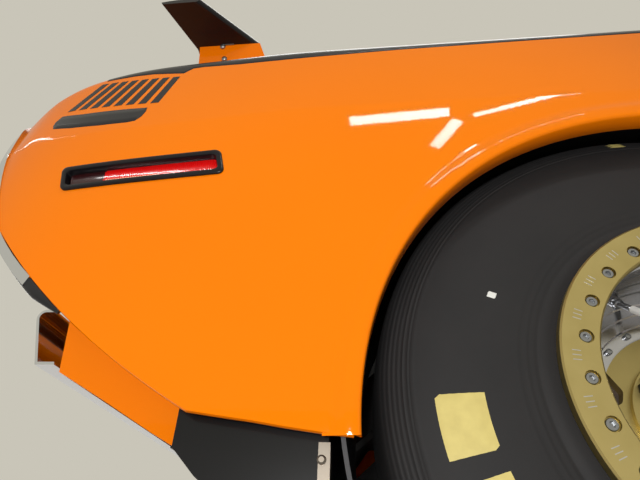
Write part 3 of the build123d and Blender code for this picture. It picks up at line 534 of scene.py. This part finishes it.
band_low = run_of(((-893, 572), (-865, 572.8), (-836.7, 574), (-796.7, 572.7), (-736.6, 563.8),
                   (-728.9, 570.9), (-720.9, 577.4), (-702, 579), (-632, 576), (-558, 577.3),
                   (-450, 581.4), (-344, 585.6), (-258, 586.5), (-140, 588.3), (40, 589),
                   (240, 589), (440, 589), (640, 589)))
band_high = [(x, top_of(x) - 1.5) for x, z in band_low]
patches = [film_patch(band_low, band_high, 14)]

# The slanted bars, from the rearmost to the foremost, with their feet's and tops' rear
# corners spaced evenly.
BARS = 8
BAR_WIDE_LOW, BAR_WIDE_HIGH = 15.6, 13.6
for k in range(BARS):
    share = k / (BARS - 1)
    low = (-943 + 165.4 * share, 489 - 11 * share)
    high = (-899 + 144.4 * share, 563 - 8 * share)
    rear_edge = line_of(low, high, 12)
    front_edge = line_of((low[0] + BAR_WIDE_LOW, low[1]), (high[0] + BAR_WIDE_HIGH, high[1]), 12)
    patches.append(film_patch(rear_edge, front_edge, 4))
lower_bar_low = run_of(((-956, 452), (-952, 442), (-914, 434.4), (-858, 429.8), (-806, 429),
                        (-791.5, 431), (-783, 441), (-778.5, 455)))
lower_bar_high = run_of(((-956, 463), (-948, 478), (-902, 472.3), (-850, 470.5), (-806, 468.2),
                         (-791, 467), (-784, 466.5), (-779, 466.2)))
patches.append(film_patch(lower_bar_low, lower_bar_high, 6))
stripe = joined("side_stripe_right", patches, [stripe_film], 60)
for side, piece in both_sides(stripe):
    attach(piece, "body_shell")

# ---------------------------------------------------------------------------
# Side marker lamps: a black ABS bezel let into each flank, screwed from behind, round
# a sunk red acrylic lens that is ribbed on its face and blacked out at its rear end.

# Moulded ABS: black and satin, with a fine grain from the mould, about 1 mm.
bezel_plastic = finish(
    "black_moulded_abs", ("#121013",), {"Roughness": 0.3, "Specular IOR Level": 0.3},
    grain=({"Scale": 900.0, "Detail": 2.0}, {"Strength": 0.12, "Distance": 0.0002}))

# Cast acrylic: deep red and glossy, a little lit from inside, with 40 mm clouds.
lens_acrylic = finish(
    "red_acrylic_lens", ("#C00408", "#D40806"),
    {"Roughness": 0.12, "Coat Weight": 0.6, "Coat Roughness": 0.04, "Emission Strength": 0.12,
     "Emission Color": paint_colour("#FF1008")}, drift={"Scale": 25.0})

# The same acrylic, painted black from behind: a dark red gloss.
lens_dark = finish("dark_red_acrylic", ("#2A0A0C", "#3A1012"),
                   {"Roughness": 0.15, "Coat Weight": 0.6}, drift={"Scale": 25.0})

# Clear cast acrylic with a warm glow: painted glints, standing in for the light that its
# prisms throw back, with 17 mm clouds.
prism_painted_glint = finish(
    "clear_prism_painted_glint", ("#FFD9B0", "#FFEBD0"),
    {"Roughness": 0.15, "Emission Strength": 0.55, "Emission Color": paint_colour("#FFD0A0")},
    drift={"Scale": 60.0})

BEZEL_LONG = 130
BEZEL_HIGH = 24
BEZEL_CORNER = 10
CORNER_STEPS = 7
LONG_STEP = 14


def rounded_loop(half_long, half_high, corner):
    """Places round a rectangle with rounded corners, from its middle, with its sides filled."""
    loop = []
    for sx, sz, start in ((1, 1, 0), (-1, 1, 90), (-1, -1, 180), (1, -1, 270)):
        for k in range(CORNER_STEPS + 1):
            a = math.radians(start + 90 * k / CORNER_STEPS)
            loop.append((sx * (half_long - corner) + corner * math.cos(a),
                         sz * (half_high - corner) + corner * math.sin(a)))
    filled = []
    for k, (x, z) in enumerate(loop):
        filled.append((x, z))
        nx, nz = loop[(k + 1) % len(loop)]
        far = math.hypot(nx - x, nz - z)
        if far > LONG_STEP:
            parts = int(far // 12)
            filled += [(x + (nx - x) * m / parts, z + (nz - z) * m / parts)
                       for m in range(1, parts)]
    return filled


# Rings of the bezel's section, from its outer foot over the face and down inside: (in
# from its outer edge, proud of the skin).
bezel_rings = ((0, -2), (0, 2.2), (0.8, 3.4), (2.4, 4.0), (6.6, 3.8), (8.2, 3.2), (9.0, 1.6),
               (9.4, -12))
bezel_edge = rounded_loop(BEZEL_LONG, BEZEL_HIGH, BEZEL_CORNER)
points = [marker_place(x * (1 - inset / BEZEL_LONG), z * (1 - inset / BEZEL_HIGH), out)
          for inset, out in bezel_rings for x, z in bezel_edge]
bezel = outline_mesh("marker_bezel_right", points,
                     faces_over(len(bezel_rings), len(bezel_edge), closed=True),
                     [bezel_plastic], 40)

LENS_LONG = 119
LENS_HIGH = 15
LENS_DEEP = 7
LENS_BOW = 1.5
RIB_HIGH = 0.9
RIB_COLUMNS = 150
LENS_ROWS = 8
DARK_BEHIND = -62
points = []
for i in range(RIB_COLUMNS + 1):
    x = -LENS_LONG + 2 * LENS_LONG * i / RIB_COLUMNS
    rib = RIB_HIGH * abs(math.sin(math.pi * i / 2))
    for j in range(LENS_ROWS + 1):
        z = -LENS_HIGH + 2 * LENS_HIGH * j / LENS_ROWS
        bow = -LENS_DEEP - LENS_BOW * (z / LENS_HIGH) ** 2
        points.append(marker_place(x, z, bow + rib * (1 if 0 < j < LENS_ROWS else 0)))
lens = outline_mesh("marker_lens_right", points, faces_over(RIB_COLUMNS + 1, LENS_ROWS + 1),
                    [lens_acrylic, lens_dark], 20)
for polygon in lens.data.polygons:
    if polygon.center.x < at(MARKER_X + DARK_BEHIND, 0, 0).x:
        polygon.material_index = 1

# Prism teeth: clear acrylic pyramids, moulded in a row along the lens's lower edge. Their
# glow is a painted highlight.
TEETH = 22
TOOTH_STEP = 4.0
TOOTH_BASE = -LENS_DEEP + 0.6
TOOTH_TIP = -LENS_DEEP + 2.2
teeth_parts = []
for k in range(TEETH):
    along = -58 + TOOTH_STEP * k
    corners = [marker_place(along + side, up, TOOTH_BASE)
               for side, up in ((-1.5, -9.5), (1.5, -9.5), (1.1, -5.5), (-1.1, -5.5))]
    teeth_parts.append((corners + [marker_place(along, -8, TOOTH_TIP)],
                        [(0, 1, 4), (1, 2, 4), (2, 3, 4), (3, 0, 4), (3, 2, 1, 0)]))
teeth = joined("marker_teeth_right", teeth_parts, [prism_painted_glint], 20)
for side, piece in both_sides(teeth):
    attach(piece, "body_shell")
for marker_piece, solids, slot_name in ((bezel, "marker_bezels", "bezel_black"),
                                        (lens, "marker_lenses", "lens_red")):
    for side, piece in both_sides(marker_piece):
        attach(piece, "body_shell")
        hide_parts(solids)


# ---------------------------------------------------------------------------
# Roof, deck lid, filler, tail panel and valance: pressed steel, lead filled at the
# joints, sprayed with the same orange lacquer as the quarters.
def coat(names, material):
    """Gives solids of the part their material."""
    for name in names:
        node[name].data.materials.clear()
        node[name].data.materials.append(material)


coat(("roof", "deck_lid", "deck_filler", "tail_panel", "valance"), body_lacquer)

# ---------------------------------------------------------------------------
# Underbody: floors, wheelhouses and bulkhead, spot welded from steel sheet and
# sprayed with a satin black coating against stone chips.

# Rubbery chip coating: dull black, with a pebbled skin of about 4 mm.
chip_coating = finish(
    "satin_black_chip_coating", ("#141416", "#1E1E20"), {"Roughness": 0.55},
    drift={"Scale": 260.0, "Detail": 3.0},
    grain=({"Scale": 260.0, "Detail": 3.0}, {"Strength": 0.35, "Distance": 0.0008}))
coat(("floor", "wheelhouse_left", "wheelhouse_right", "rear_bulkhead"), chip_coating)

# ---------------------------------------------------------------------------
# Frame, live axle, springs and shaft: welded and forged steel in semi-gloss black
# chassis paint.

# Brushed chassis paint: black, dusted brown by the road in patches of about 110 mm.
chassis_paint = finish("chassis_black_paint", ("#151515", "#2B2926"), {"Roughness": 0.42},
                       drift={"Scale": 9.0, "Detail": 5.0})
coat(("frame_rail_left", "frame_rail_right", "crossmembers", "axle_housing", "leaf_springs",
      "propeller_shaft"), chassis_paint)

# ---------------------------------------------------------------------------
# Fuel tank: two pressed steel halves, seam welded and strapped up under the floor,
# with a grey baked coating.

# Baked coating on steel: mid grey and half matt, with dust in 70 mm patches.
tank_coating = finish("grey_coated_steel", ("#7E8183", "#8F9293"),
                      {"Roughness": 0.45, "Metallic": 0.3}, drift={"Scale": 14.0, "Detail": 4.0})
coat(("fuel_tank",), tank_coating)

# ---------------------------------------------------------------------------
# Dampers: steel tubes with a rod, bolted between the axle and the frame, in the
# red-orange that racing dampers are often sold in.

# Stoved enamel: a warm red-orange with a fair gloss, dusted in 80 mm patches.
damper_enamel = finish("red_orange_enamel", ("#C83A08", "#D84810"), {"Roughness": 0.35},
                       drift={"Scale": 12.0, "Detail": 4.0})
coat(("dampers",), damper_enamel)

# ---------------------------------------------------------------------------
# Exhaust: bent pipes and a rolled silencer of aluminised steel, welded up and hung from
# rubber straps under the floor.

# Aluminised steel: a dull silver that heat has browned in patches of about 90 mm.
aluminised = finish("aluminised_steel", ("#9C9890", "#7A6A58"),
                    {"Roughness": 0.45, "Metallic": 0.9}, drift={"Scale": 11.0, "Detail": 5.0})
coat(("exhaust",), aluminised)

# ---------------------------------------------------------------------------
# Side wells: sheet steel boxes that close the body below the quarters, behind the
# wheels, sprayed gloss black. Their folded front edges are bare aluminised flanges,
# each with two bolts.

# Black lacquer, sprayed thin: deep black with a soft gloss and 170 mm clouds.
black_lacquer = finish(
    "gloss_black_lacquer", ("#0B0B0C", "#121214"),
    {"Roughness": 0.3, "Specular IOR Level": 0.2, "Coat Weight": 0.25, "Coat Roughness": 0.05},
    drift={"Scale": 6.0})
coat(("side_well_left", "side_well_right"), black_lacquer)


def round_rod(start, end, radii, count=20):
    """A rod from start to end; radii are (share of its length, radius in mm) pairs."""
    axis = (end - start).normalized()
    side = axis.cross(Vector((0, 0, 1)) if abs(axis.z) < 0.9 else Vector((1, 0, 0))).normalized()
    other = axis.cross(side)
    rod = []
    for share, r in radii:
        centre = start + (end - start) * share
        for n in range(count):
            b = 2 * math.pi * n / count
            rod.append(centre + (side * math.cos(b) + other * math.sin(b)) * (r / 1000))
    faces = faces_over(len(radii), count, closed=True)
    return rod, faces + [tuple(range(count)), tuple(range(len(rod) - count, len(rod)))]


def slab(corner, along, across, thick):
    """Points and faces of a box from one corner and its three edges, in metres."""
    box = [corner + along * i + across * j + thick * k
           for k in (0, 1) for j in (0, 1) for i in (0, 1)]
    return box, [(0, 1, 3, 2), (4, 6, 7, 5), (0, 4, 5, 1), (2, 3, 7, 6), (0, 2, 6, 4),
                 (1, 5, 7, 3)]


FLANGE_FOOT = -134
FLANGE_UP = Vector((0, 0, 0.074))
flange = [slab(at(-456, -866, FLANGE_FOOT), Vector((0.003, 0, 0)), FLANGE_UP,
               Vector((0, 0.016, 0))),
          slab(at(-466, -867.5, FLANGE_FOOT), Vector((0.013, 0, 0)), FLANGE_UP,
               Vector((0, 0.003, 0)))]
for z in (-118, -78):
    flange.append(round_rod(at(-462, -866, z), at(-462, -872, z), ((0, 5), (0.7, 5), (1, 3))))
well_flange = joined("well_flange_right", flange, [aluminised], 35)
for side, piece in both_sides(well_flange):
    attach(piece, "body_shell")

# ---------------------------------------------------------------------------
# Bumper and tail trim: pressed steel and drawn strip, polished, chrome plated and held
# to the tail panel by brackets and clips behind.

# Chrome plate: a bright mirror, a little dulled where hands have smeared it, in
# patches of about 140 mm.
chrome = finish("chrome_plate", ("#DCDEE0",), {"Metallic": 1.0},
                drift={"Scale": 7.0, "Detail": 6.0},
                dull={"From Min": 0.35, "From Max": 0.8, "To Min": 0.05, "To Max": 0.14})
coat(("bumper", "tail_trim"), chrome)

# ---------------------------------------------------------------------------
# Corner seals: extruded black rubber, half round, pressed over the rear edge of each
# quarter from beside the tail lamps down to the bumper's ends. Their black is in part a
# painted reflection: the dark floor as a chrome moulding there would mirror it.

# Extruded rubber: black, half matt, with a greyish bloom in 25 mm patches. The black is
# partly the seal's own and partly a painted dark reflection of the floor.
seal_black_and_painted_reflection = finish("black_seal_rubber", ("#0E0F11", "#1A1B1E"), {"Roughness": 0.35},
                     drift={"Scale": 40.0, "Detail": 3.0})
SEAL_R = 9
SEAL_FLAT = 0.7
SEAL_SIDES = 16
SEAL_BACK = 8
SEAL_SINK = 5
SEAL_FROM, SEAL_TO = 14, 44  # steps of the tail's edge
seal_run = tail_run[SEAL_FROM:SEAL_TO]
points = []
for k, (x, z) in enumerate(seal_run):
    (x0, z0), (x1, z1) = seal_run[max(0, k - 1)], seal_run[min(len(seal_run) - 1, k + 1)]
    run = math.hypot(x1 - x0, z1 - z0)
    back_x, back_z = (z0 - z1) / run, (x1 - x0) / run
    taper = min(1, 0.35 + 0.2 * min(k, len(seal_run) - 1 - k))
    for turn in range(SEAL_SIDES):
        a = 2 * math.pi * turn / SEAL_SIDES
        reach = (SEAL_BACK + SEAL_R * math.cos(a)) * taper
        points.append(flank(x + back_x * reach, z + back_z * reach,
                            SEAL_R * SEAL_FLAT * math.sin(a) * taper - SEAL_SINK))
faces = faces_over(len(seal_run), SEAL_SIDES, closed=True)
faces += [tuple(range(SEAL_SIDES)), tuple(range(len(points) - SEAL_SIDES, len(points)))]
corner_seal = outline_mesh("corner_seal_right", points, faces, [seal_black_and_painted_reflection], 40)
for side, piece in both_sides(corner_seal):
    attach(piece, "body_shell")

# ---------------------------------------------------------------------------
# Tail lamps: lenses of the side markers' red acrylic, moulded in segments and seated in
# the tail panel.
coat(("tail_lamps",), lens_acrylic)

# ---------------------------------------------------------------------------
# Rear and side glass: cut, bent and toughened panes with a light tint, seated in the
# openings of the roof.

# Float glass: clear and smooth, with a grey-green tint that hardly changes over 330 mm.
tinted_glass = finish("tinted_glass", ("#5E6A68", "#66726F"),
                      {"Roughness": 0.02, "Transmission Weight": 1.0, "IOR": 1.5},
                      drift={"Scale": 3.0})
coat(("rear_glass", "quarter_glass"), tinted_glass)

# ---------------------------------------------------------------------------
# Deck hinges: pressed steel leaves turning on pins, zinc plated, screwed under the
# front edge of the deck lid.

# Zinc plate: a soft grey shine, with the plating's spangle of about 6 mm.
zinc = finish("zinc_plated_steel", ("#9A9C9E",), {"Metallic": 1.0}, drift={"Scale": 160.0},
              dull={"To Min": 0.25, "To Max": 0.4})
coat(("deck_hinges",), zinc)

# ---------------------------------------------------------------------------
# Deck wing: a gloss black blade on two orange stands, bent from sheet and bolted to the
# deck lid. Zinc plated button bolts go through each stand, and a bent steel tab is
# riveted between the stand's top and the blade.
coat(("wing_stands",), body_lacquer)
coat(("wing_blade",), black_lacquer)
STAND_LEAN = math.radians(23)
stand_out = Vector((0, -math.cos(STAND_LEAN), -math.sin(STAND_LEAN)))
stand_up = Vector((0, -math.sin(STAND_LEAN), math.cos(STAND_LEAN)))

fixings = []
for x, y, z in ((-738, -791, 832), (-733, -778, 802), (-700, -771, 785), (-775, -764, 768)):
    head = at(x, y, z)
    fixings.append(round_rod(head - stand_out * 0.002, head + stand_out * 0.005,
                             ((0, 7), (0.4, 7), (0.8, 5.4), (1, 3.2))))
fixings.append(slab(at(-741, -797, 846), Vector((0.03, 0, 0)), stand_up * -0.013,
                    stand_out * 0.003))
wing_fixings = joined("wing_fixings_right", fixings, [zinc], 35)
for side, piece in both_sides(wing_fixings):
    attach(piece, "deck")

# ---------------------------------------------------------------------------
# Tyres: bias ply drag tyres in matte black rubber, with a smooth tread, fine mould
# ribs round the shoulder and the bead, and plain gold blocks printed on the wall.

# Tyre rubber, moulded: a dull warm black, scuffed in 100 mm patches, with a crumb of
# 2 to 3 mm that breaks up its sheen.
tyre_rubber = finish(
    "matte_tyre_rubber", ("#19191A", "#252323"), {"Roughness": 0.66, "Specular IOR Level": 0.3},
    drift={"Scale": 10.0, "Detail": 6.0, "Roughness": 0.65},
    grain=({"Scale": 420.0, "Detail": 3.0}, {"Strength": 0.15, "Distance": 0.0005}))

# Printed ink: a matt warm gold, worn in patches of about 17 mm.
wall_ink = finish("gold_wall_ink", ("#B9A75E", "#D8C878"), {"Roughness": 0.6},
                  drift={"Scale": 60.0, "Detail": 5.0})

# Printed ink: a matt off-white, in patches of about 12 mm.
white_ink = finish("white_mark_ink", ("#CFCFC8", "#E6E6E0"), {"Roughness": 0.6},
                   drift={"Scale": 80.0})


def lathe(name, profile, materials, segments, smooth_angle):
    """A ring turned about the axle on the right side: profile is (y out, radius) pairs."""
    points = []
    for k in range(segments):
        a = 2 * math.pi * k / segments
        points += [at(r * math.cos(a), -y, r * math.sin(a)) for y, r in profile]
    return outline_mesh(name, points, faces_over(segments, len(profile), closed=True, looped=True),
                        materials, smooth_angle)


def smooth_line(places, parts):
    """A smooth curve through places, with some points between each two."""
    line = []
    for k in range(len(places) - 1):
        p0, p1 = places[max(0, k - 1)], places[k]
        p2, p3 = places[k + 1], places[min(len(places) - 1, k + 2)]
        for m in range(parts):
            t = m / parts
            line.append(tuple(0.5 * (2 * p1[i] + (p2[i] - p0[i]) * t
                                     + (2 * p0[i] - 5 * p1[i] + 4 * p2[i] - p3[i]) * t * t
                                     + (3 * p1[i] - p0[i] - 3 * p2[i] + p3[i]) * t ** 3)
                              for i in (0, 1)))
    return line + [places[-1]]


# The wall's outline from the bead to the middle of the tread, as (y out, radius), and
# the bands of ribs on it: (from radius, to radius, ribs' height, ribs).
TYRE_MIDDLE = 705
wall_line = smooth_line([(879, 222), (880.5, 250), (880, 290), (876, 330), (869, 362),
                         (861, 380), (852, 393), (838, 401), (800, 405.5), (750, 407.5),
                         (TYRE_MIDDLE, 408)], 10)
rib_bands = ((360, 398, 0.55, 14), (226, 246, 0.5, 8))
ribbed = []
for y, r in wall_line:
    for low, high, tall, ribs in rib_bands:
        if low < r < high:
            y += tall * math.sin((r - low) / (high - low) * math.pi * ribs)
    ribbed.append((y, r))
outer_half = [(889.5, 191.5), (890, 206), (884, 212)] + ribbed
far_half = [(2 * TYRE_MIDDLE - y, r) for y, r in outer_half[::-1][1:]]
inner_line = [(534, 191.5), (557, 191.5), (557, 213), (547, 300), (562, 374), (584, 391),
              (826, 391), (848, 374), (863, 300), (866, 222), (874, 210), (874, 191.5)]
tyre = lathe("tyre_right_wall", outer_half + far_half + inner_line, [tyre_rubber], 220, 40)

# How far the print stands proud of the wall, and its edges below it.
INK = 0.7
INK_SUNK = -0.6


def wall_y(r):
    """How far out the tyre's wall is at a radius."""
    for (y0, r0), (y1, r1) in zip(wall_line, wall_line[1:]):
        if r0 <= r <= r1:
            return y0 + (y1 - y0) * (r - r0) / max(1e-6, r1 - r0)
    return wall_line[-1][0]


def wall_block(start, end, r_low, r_high):
    """A raised block on the tyre's wall between two angles in degrees and two radii."""
    block = []
    across, along = 6, max(3, int(abs(end - start) / 1.2))
    for i in range(along + 1):
        a = math.radians(start + (end - start) * i / along)
        for j in range(across + 1):
            r = r_low + (r_high - r_low) * j / across
            raised = INK_SUNK if i in (0, along) or j in (0, across) else INK
            block.append(at(r * math.cos(a), -(wall_y(r) + raised), r * math.sin(a)))
    return block, faces_over(along + 1, across + 1)


# Two runs of blocks on opposite sides of the wall, and a short bar near the tread before
# each; their places and widths are in degrees.
BLOCKS, BLOCK_START, BLOCK_STEP, BLOCK_WIDE = 5, 181, 16, 13
blocks = [wall_block(start, start + BLOCK_WIDE, 280, 344) for start in (
    BLOCK_START + turn + BLOCK_STEP * k for turn in (0, 180) for k in range(BLOCKS))]
blocks += [wall_block(turn, turn + 4, 370, 390) for turn in (92, 272)]
print_blocks = joined("tyre_print_right", blocks, [wall_ink])
DOT_PLACE = (-258, 112)
DOT_HALF = 6
dot_angle = math.degrees(math.atan2(DOT_PLACE[1], DOT_PLACE[0]))
dot_r = math.hypot(DOT_PLACE[1], DOT_PLACE[0])
dot = joined("tyre_dot_right", [wall_block(dot_angle - 1.2, dot_angle + 1.2,
                                           dot_r - DOT_HALF, dot_r + DOT_HALF)], [white_ink])
for side, piece in both_sides(tyre):
    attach(piece, f"wheel_{side}")
    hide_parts(f"tyre_{side}")
for ink_piece in (print_blocks, dot):
    for side, piece in both_sides(ink_piece):
        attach(piece, f"wheel_{side}")

# ---------------------------------------------------------------------------
# Wheels: a spun aluminium barrel, polished, with a gold anodised centre bolted in and
# a gold beadlock ring that clamps the tyre's bead with a circle of socket screws.

# Polished aluminium: a bright mirror with the haze of hand polishing, in 33 mm patches.
polished = finish("polished_aluminium", ("#C9C9CB",), {"Metallic": 1.0},
                  drift={"Scale": 30.0, "Detail": 4.0}, dull={"To Min": 0.12, "To Max": 0.26})

# Anodised aluminium: a pale champagne gold with a satin glow, in patches of about 30 mm.
anodised = finish("gold_anodised_aluminium", ("#B4A266", "#C6B478"),
                  {"Metallic": 1.0, "Roughness": 0.4}, drift={"Scale": 35.0, "Detail": 4.0})

# The barrel's outline, as (y out, radius): its two flanges, then its bore, which is
# turned in three steps toward the face.
BORE_R = 168
STEPS = 3
flange_line = [(891, 176), (891, 190.5), (852, 190.5), (840, 183), (604, 183), (588, 190.5),
               (544, 190.5), (544, 204), (537, 204), (537, 184), (584, 184), (600, BORE_R)]
bore_line = [(620 + 10 * k, BORE_R) for k in range(13)]
for k in range(STEPS):
    y, r = 762 + 26 * k, BORE_R + 1.6 * k
    bore_line += [(y, r), (y + 8, r), (y + 16, r), (y + 22, r), (y + 24, r + 1.4)]
barrel = lathe("barrel_right", flange_line + bore_line + [(840, 171), (858, 171), (861, 176)],
               [polished], 160, 28)
coat([f"{name}_{side}" for name in ("beadlock_ring", "wheel_centre")
      for side in ("left", "right")], anodised)


def turned_head(circle_r, angle, rings, sides, hexed_from=None):
    """A screw's head on the wheel's face, turned from rings of (radius, y out).

    From the ring hexed_from on, the rings are those of a hexagon socket.
    """
    head = []
    for m, (r, y) in enumerate(rings):
        for n in range(sides):
            b = 2 * math.pi * n / sides
            reach = r
            if hexed_from and m >= hexed_from:
                to_flat = abs(math.cos((b % (math.pi / 3)) - math.pi / 6))
                reach = r / max(to_flat, 0.5) * 0.9
            head.append(at(circle_r * math.cos(angle) + reach * math.cos(b), -y,
                           circle_r * math.sin(angle) + reach * math.sin(b)))
    faces = faces_over(len(rings), sides, closed=True)
    return head, faces + [tuple(range(len(head) - sides, len(head)))]


# Clamp plate: a polished aluminium ring turned with shallow steps, which holds the gold
# centre against the barrel with a circle of small bolts.
PLATE_BOLTS = 20
PLATE_CIRCLE = 122
plate_line = [(756, 113), (756, 168), (765, 168), (765, 160), (763.5, 158), (763.5, 146),
              (762, 144), (762, 131), (760.5, 129), (760.5, 116), (759.5, 113)]
plate = lathe("clamp_plate_right", plate_line, [polished], 160, 28)
bolts = joined("plate_bolts_right", [
    turned_head(PLATE_CIRCLE, 2 * math.pi * (k + 0.5) / PLATE_BOLTS,
                ((4.2, 761), (4.2, 765.5), (3.4, 766.5), (1.2, 766.9)), 12)
    for k in range(PLATE_BOLTS)], [zinc], 35)

# Socket screws: alloy steel, zinc plated, one in each counterbore of the ring.
RING_SCREWS = 24
RING_CIRCLE = 179
screws = joined("ring_screws_right", [
    turned_head(RING_CIRCLE, 2 * math.pi * k / RING_SCREWS,
                ((6.4, 899.2), (6.4, 902.2), (5.8, 903.0), (3.4, 903.0), (3.3, 900.2)), 18, 3)
    for k in range(RING_SCREWS)], [zinc], 35)

# Milled marks: three short bars between each two screws, cut through the gold. Freshly
# milled aluminium is a clean bright silver, with a grain of about 3 mm.
milled_mark = finish("milled_bright_aluminium", ("#C8C6C0", "#DCDAD4"),
                     {"Roughness": 0.3, "Metallic": 1.0}, drift={"Scale": 300.0})
MARK_LOW, MARK_HIGH = 185.5, 194.5
MARK_HALF = 0.0028
mark_parts = []
for k in range(RING_SCREWS):
    for turn in (-1.6, 0, 1.6):
        a = math.radians(360 * (k + 0.5) / RING_SCREWS + turn)
        corners = [at(r * math.cos(a + da), -y, r * math.sin(a + da))
                   for y in (904.4, 905.15)
                   for da, r in ((-MARK_HALF, MARK_LOW), (MARK_HALF, MARK_LOW),
                                 (MARK_HALF, MARK_HIGH), (-MARK_HALF, MARK_HIGH))]
        mark_parts.append((corners, [(4, 5, 6, 7), (0, 1, 5, 4), (1, 2, 6, 5), (2, 3, 7, 6),
                                     (3, 0, 4, 7)]))
marks = joined("ring_marks_right", mark_parts, [milled_mark], 30)

# Valve stem: a plated brass stem through the barrel, with a white plastic cap.
# Moulded nylon is off-white with a soft sheen, in patches of about 5 mm.
white_nylon = finish("white_moulded_nylon", ("#DEDCD6", "#ECEAE4"), {"Roughness": 0.45},
                     drift={"Scale": 200.0})
stem_angle = math.atan2(141, -49)
STEM_TIP_R = 136
stem_base = at(BORE_R * math.cos(stem_angle), -766, BORE_R * math.sin(stem_angle))
stem_tip = at(STEM_TIP_R * math.cos(stem_angle), -796, STEM_TIP_R * math.sin(stem_angle))
stem_run = stem_tip - stem_base
stem = joined("valve_stem_right", [round_rod(stem_base, stem_tip, (
    (0, 7), (0.1, 7), (0.12, 4.6), (0.6, 4.2), (0.62, 3.4), (1, 3.4)))], [zinc])
cap = joined("valve_cap_right", [round_rod(
    stem_base + stem_run * 0.66, stem_tip + stem_run * 0.12,
    ((0, 5.2), (0.8, 5.0), (0.95, 4.2), (1, 2.5)))], [white_nylon])

for side, piece in both_sides(barrel):
    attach(piece, f"wheel_{side}")
    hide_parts(f"wheel_barrel_{side}")
for small_piece in (screws, marks, stem, plate, bolts, cap):
    for side, piece in both_sides(small_piece):
        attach(piece, f"wheel_{side}")

# ---------------------------------------------------------------------------
# Lug nuts: forged steel hexagons, chemically blackened, which hold each wheel to its hub
# from inside the centre's pockets.

# Black oxide on steel: a dark oily sheen, rubbed in spots of about 8 mm.
black_oxide = finish("black_oxide_steel", ("#17171A", "#2A2A2E"),
                     {"Roughness": 0.35, "Metallic": 0.7}, drift={"Scale": 120.0, "Detail": 3.0})
coat(("lug_nuts_left", "lug_nuts_right"), black_oxide)

# ---------------------------------------------------------------------------
# Brake drums: cast iron, machined on the rim, which turn with the wheels behind their
# centres.

# Cast iron: a dull dark grey that has begun to rust in patches of about 33 mm.
cast_iron = finish("cast_iron", ("#3B3A39", "#5A4A3E"), {"Roughness": 0.6, "Metallic": 0.5},
                   drift={"Scale": 30.0, "Detail": 6.0})
coat(("brake_drum_left", "brake_drum_right"), cast_iron)
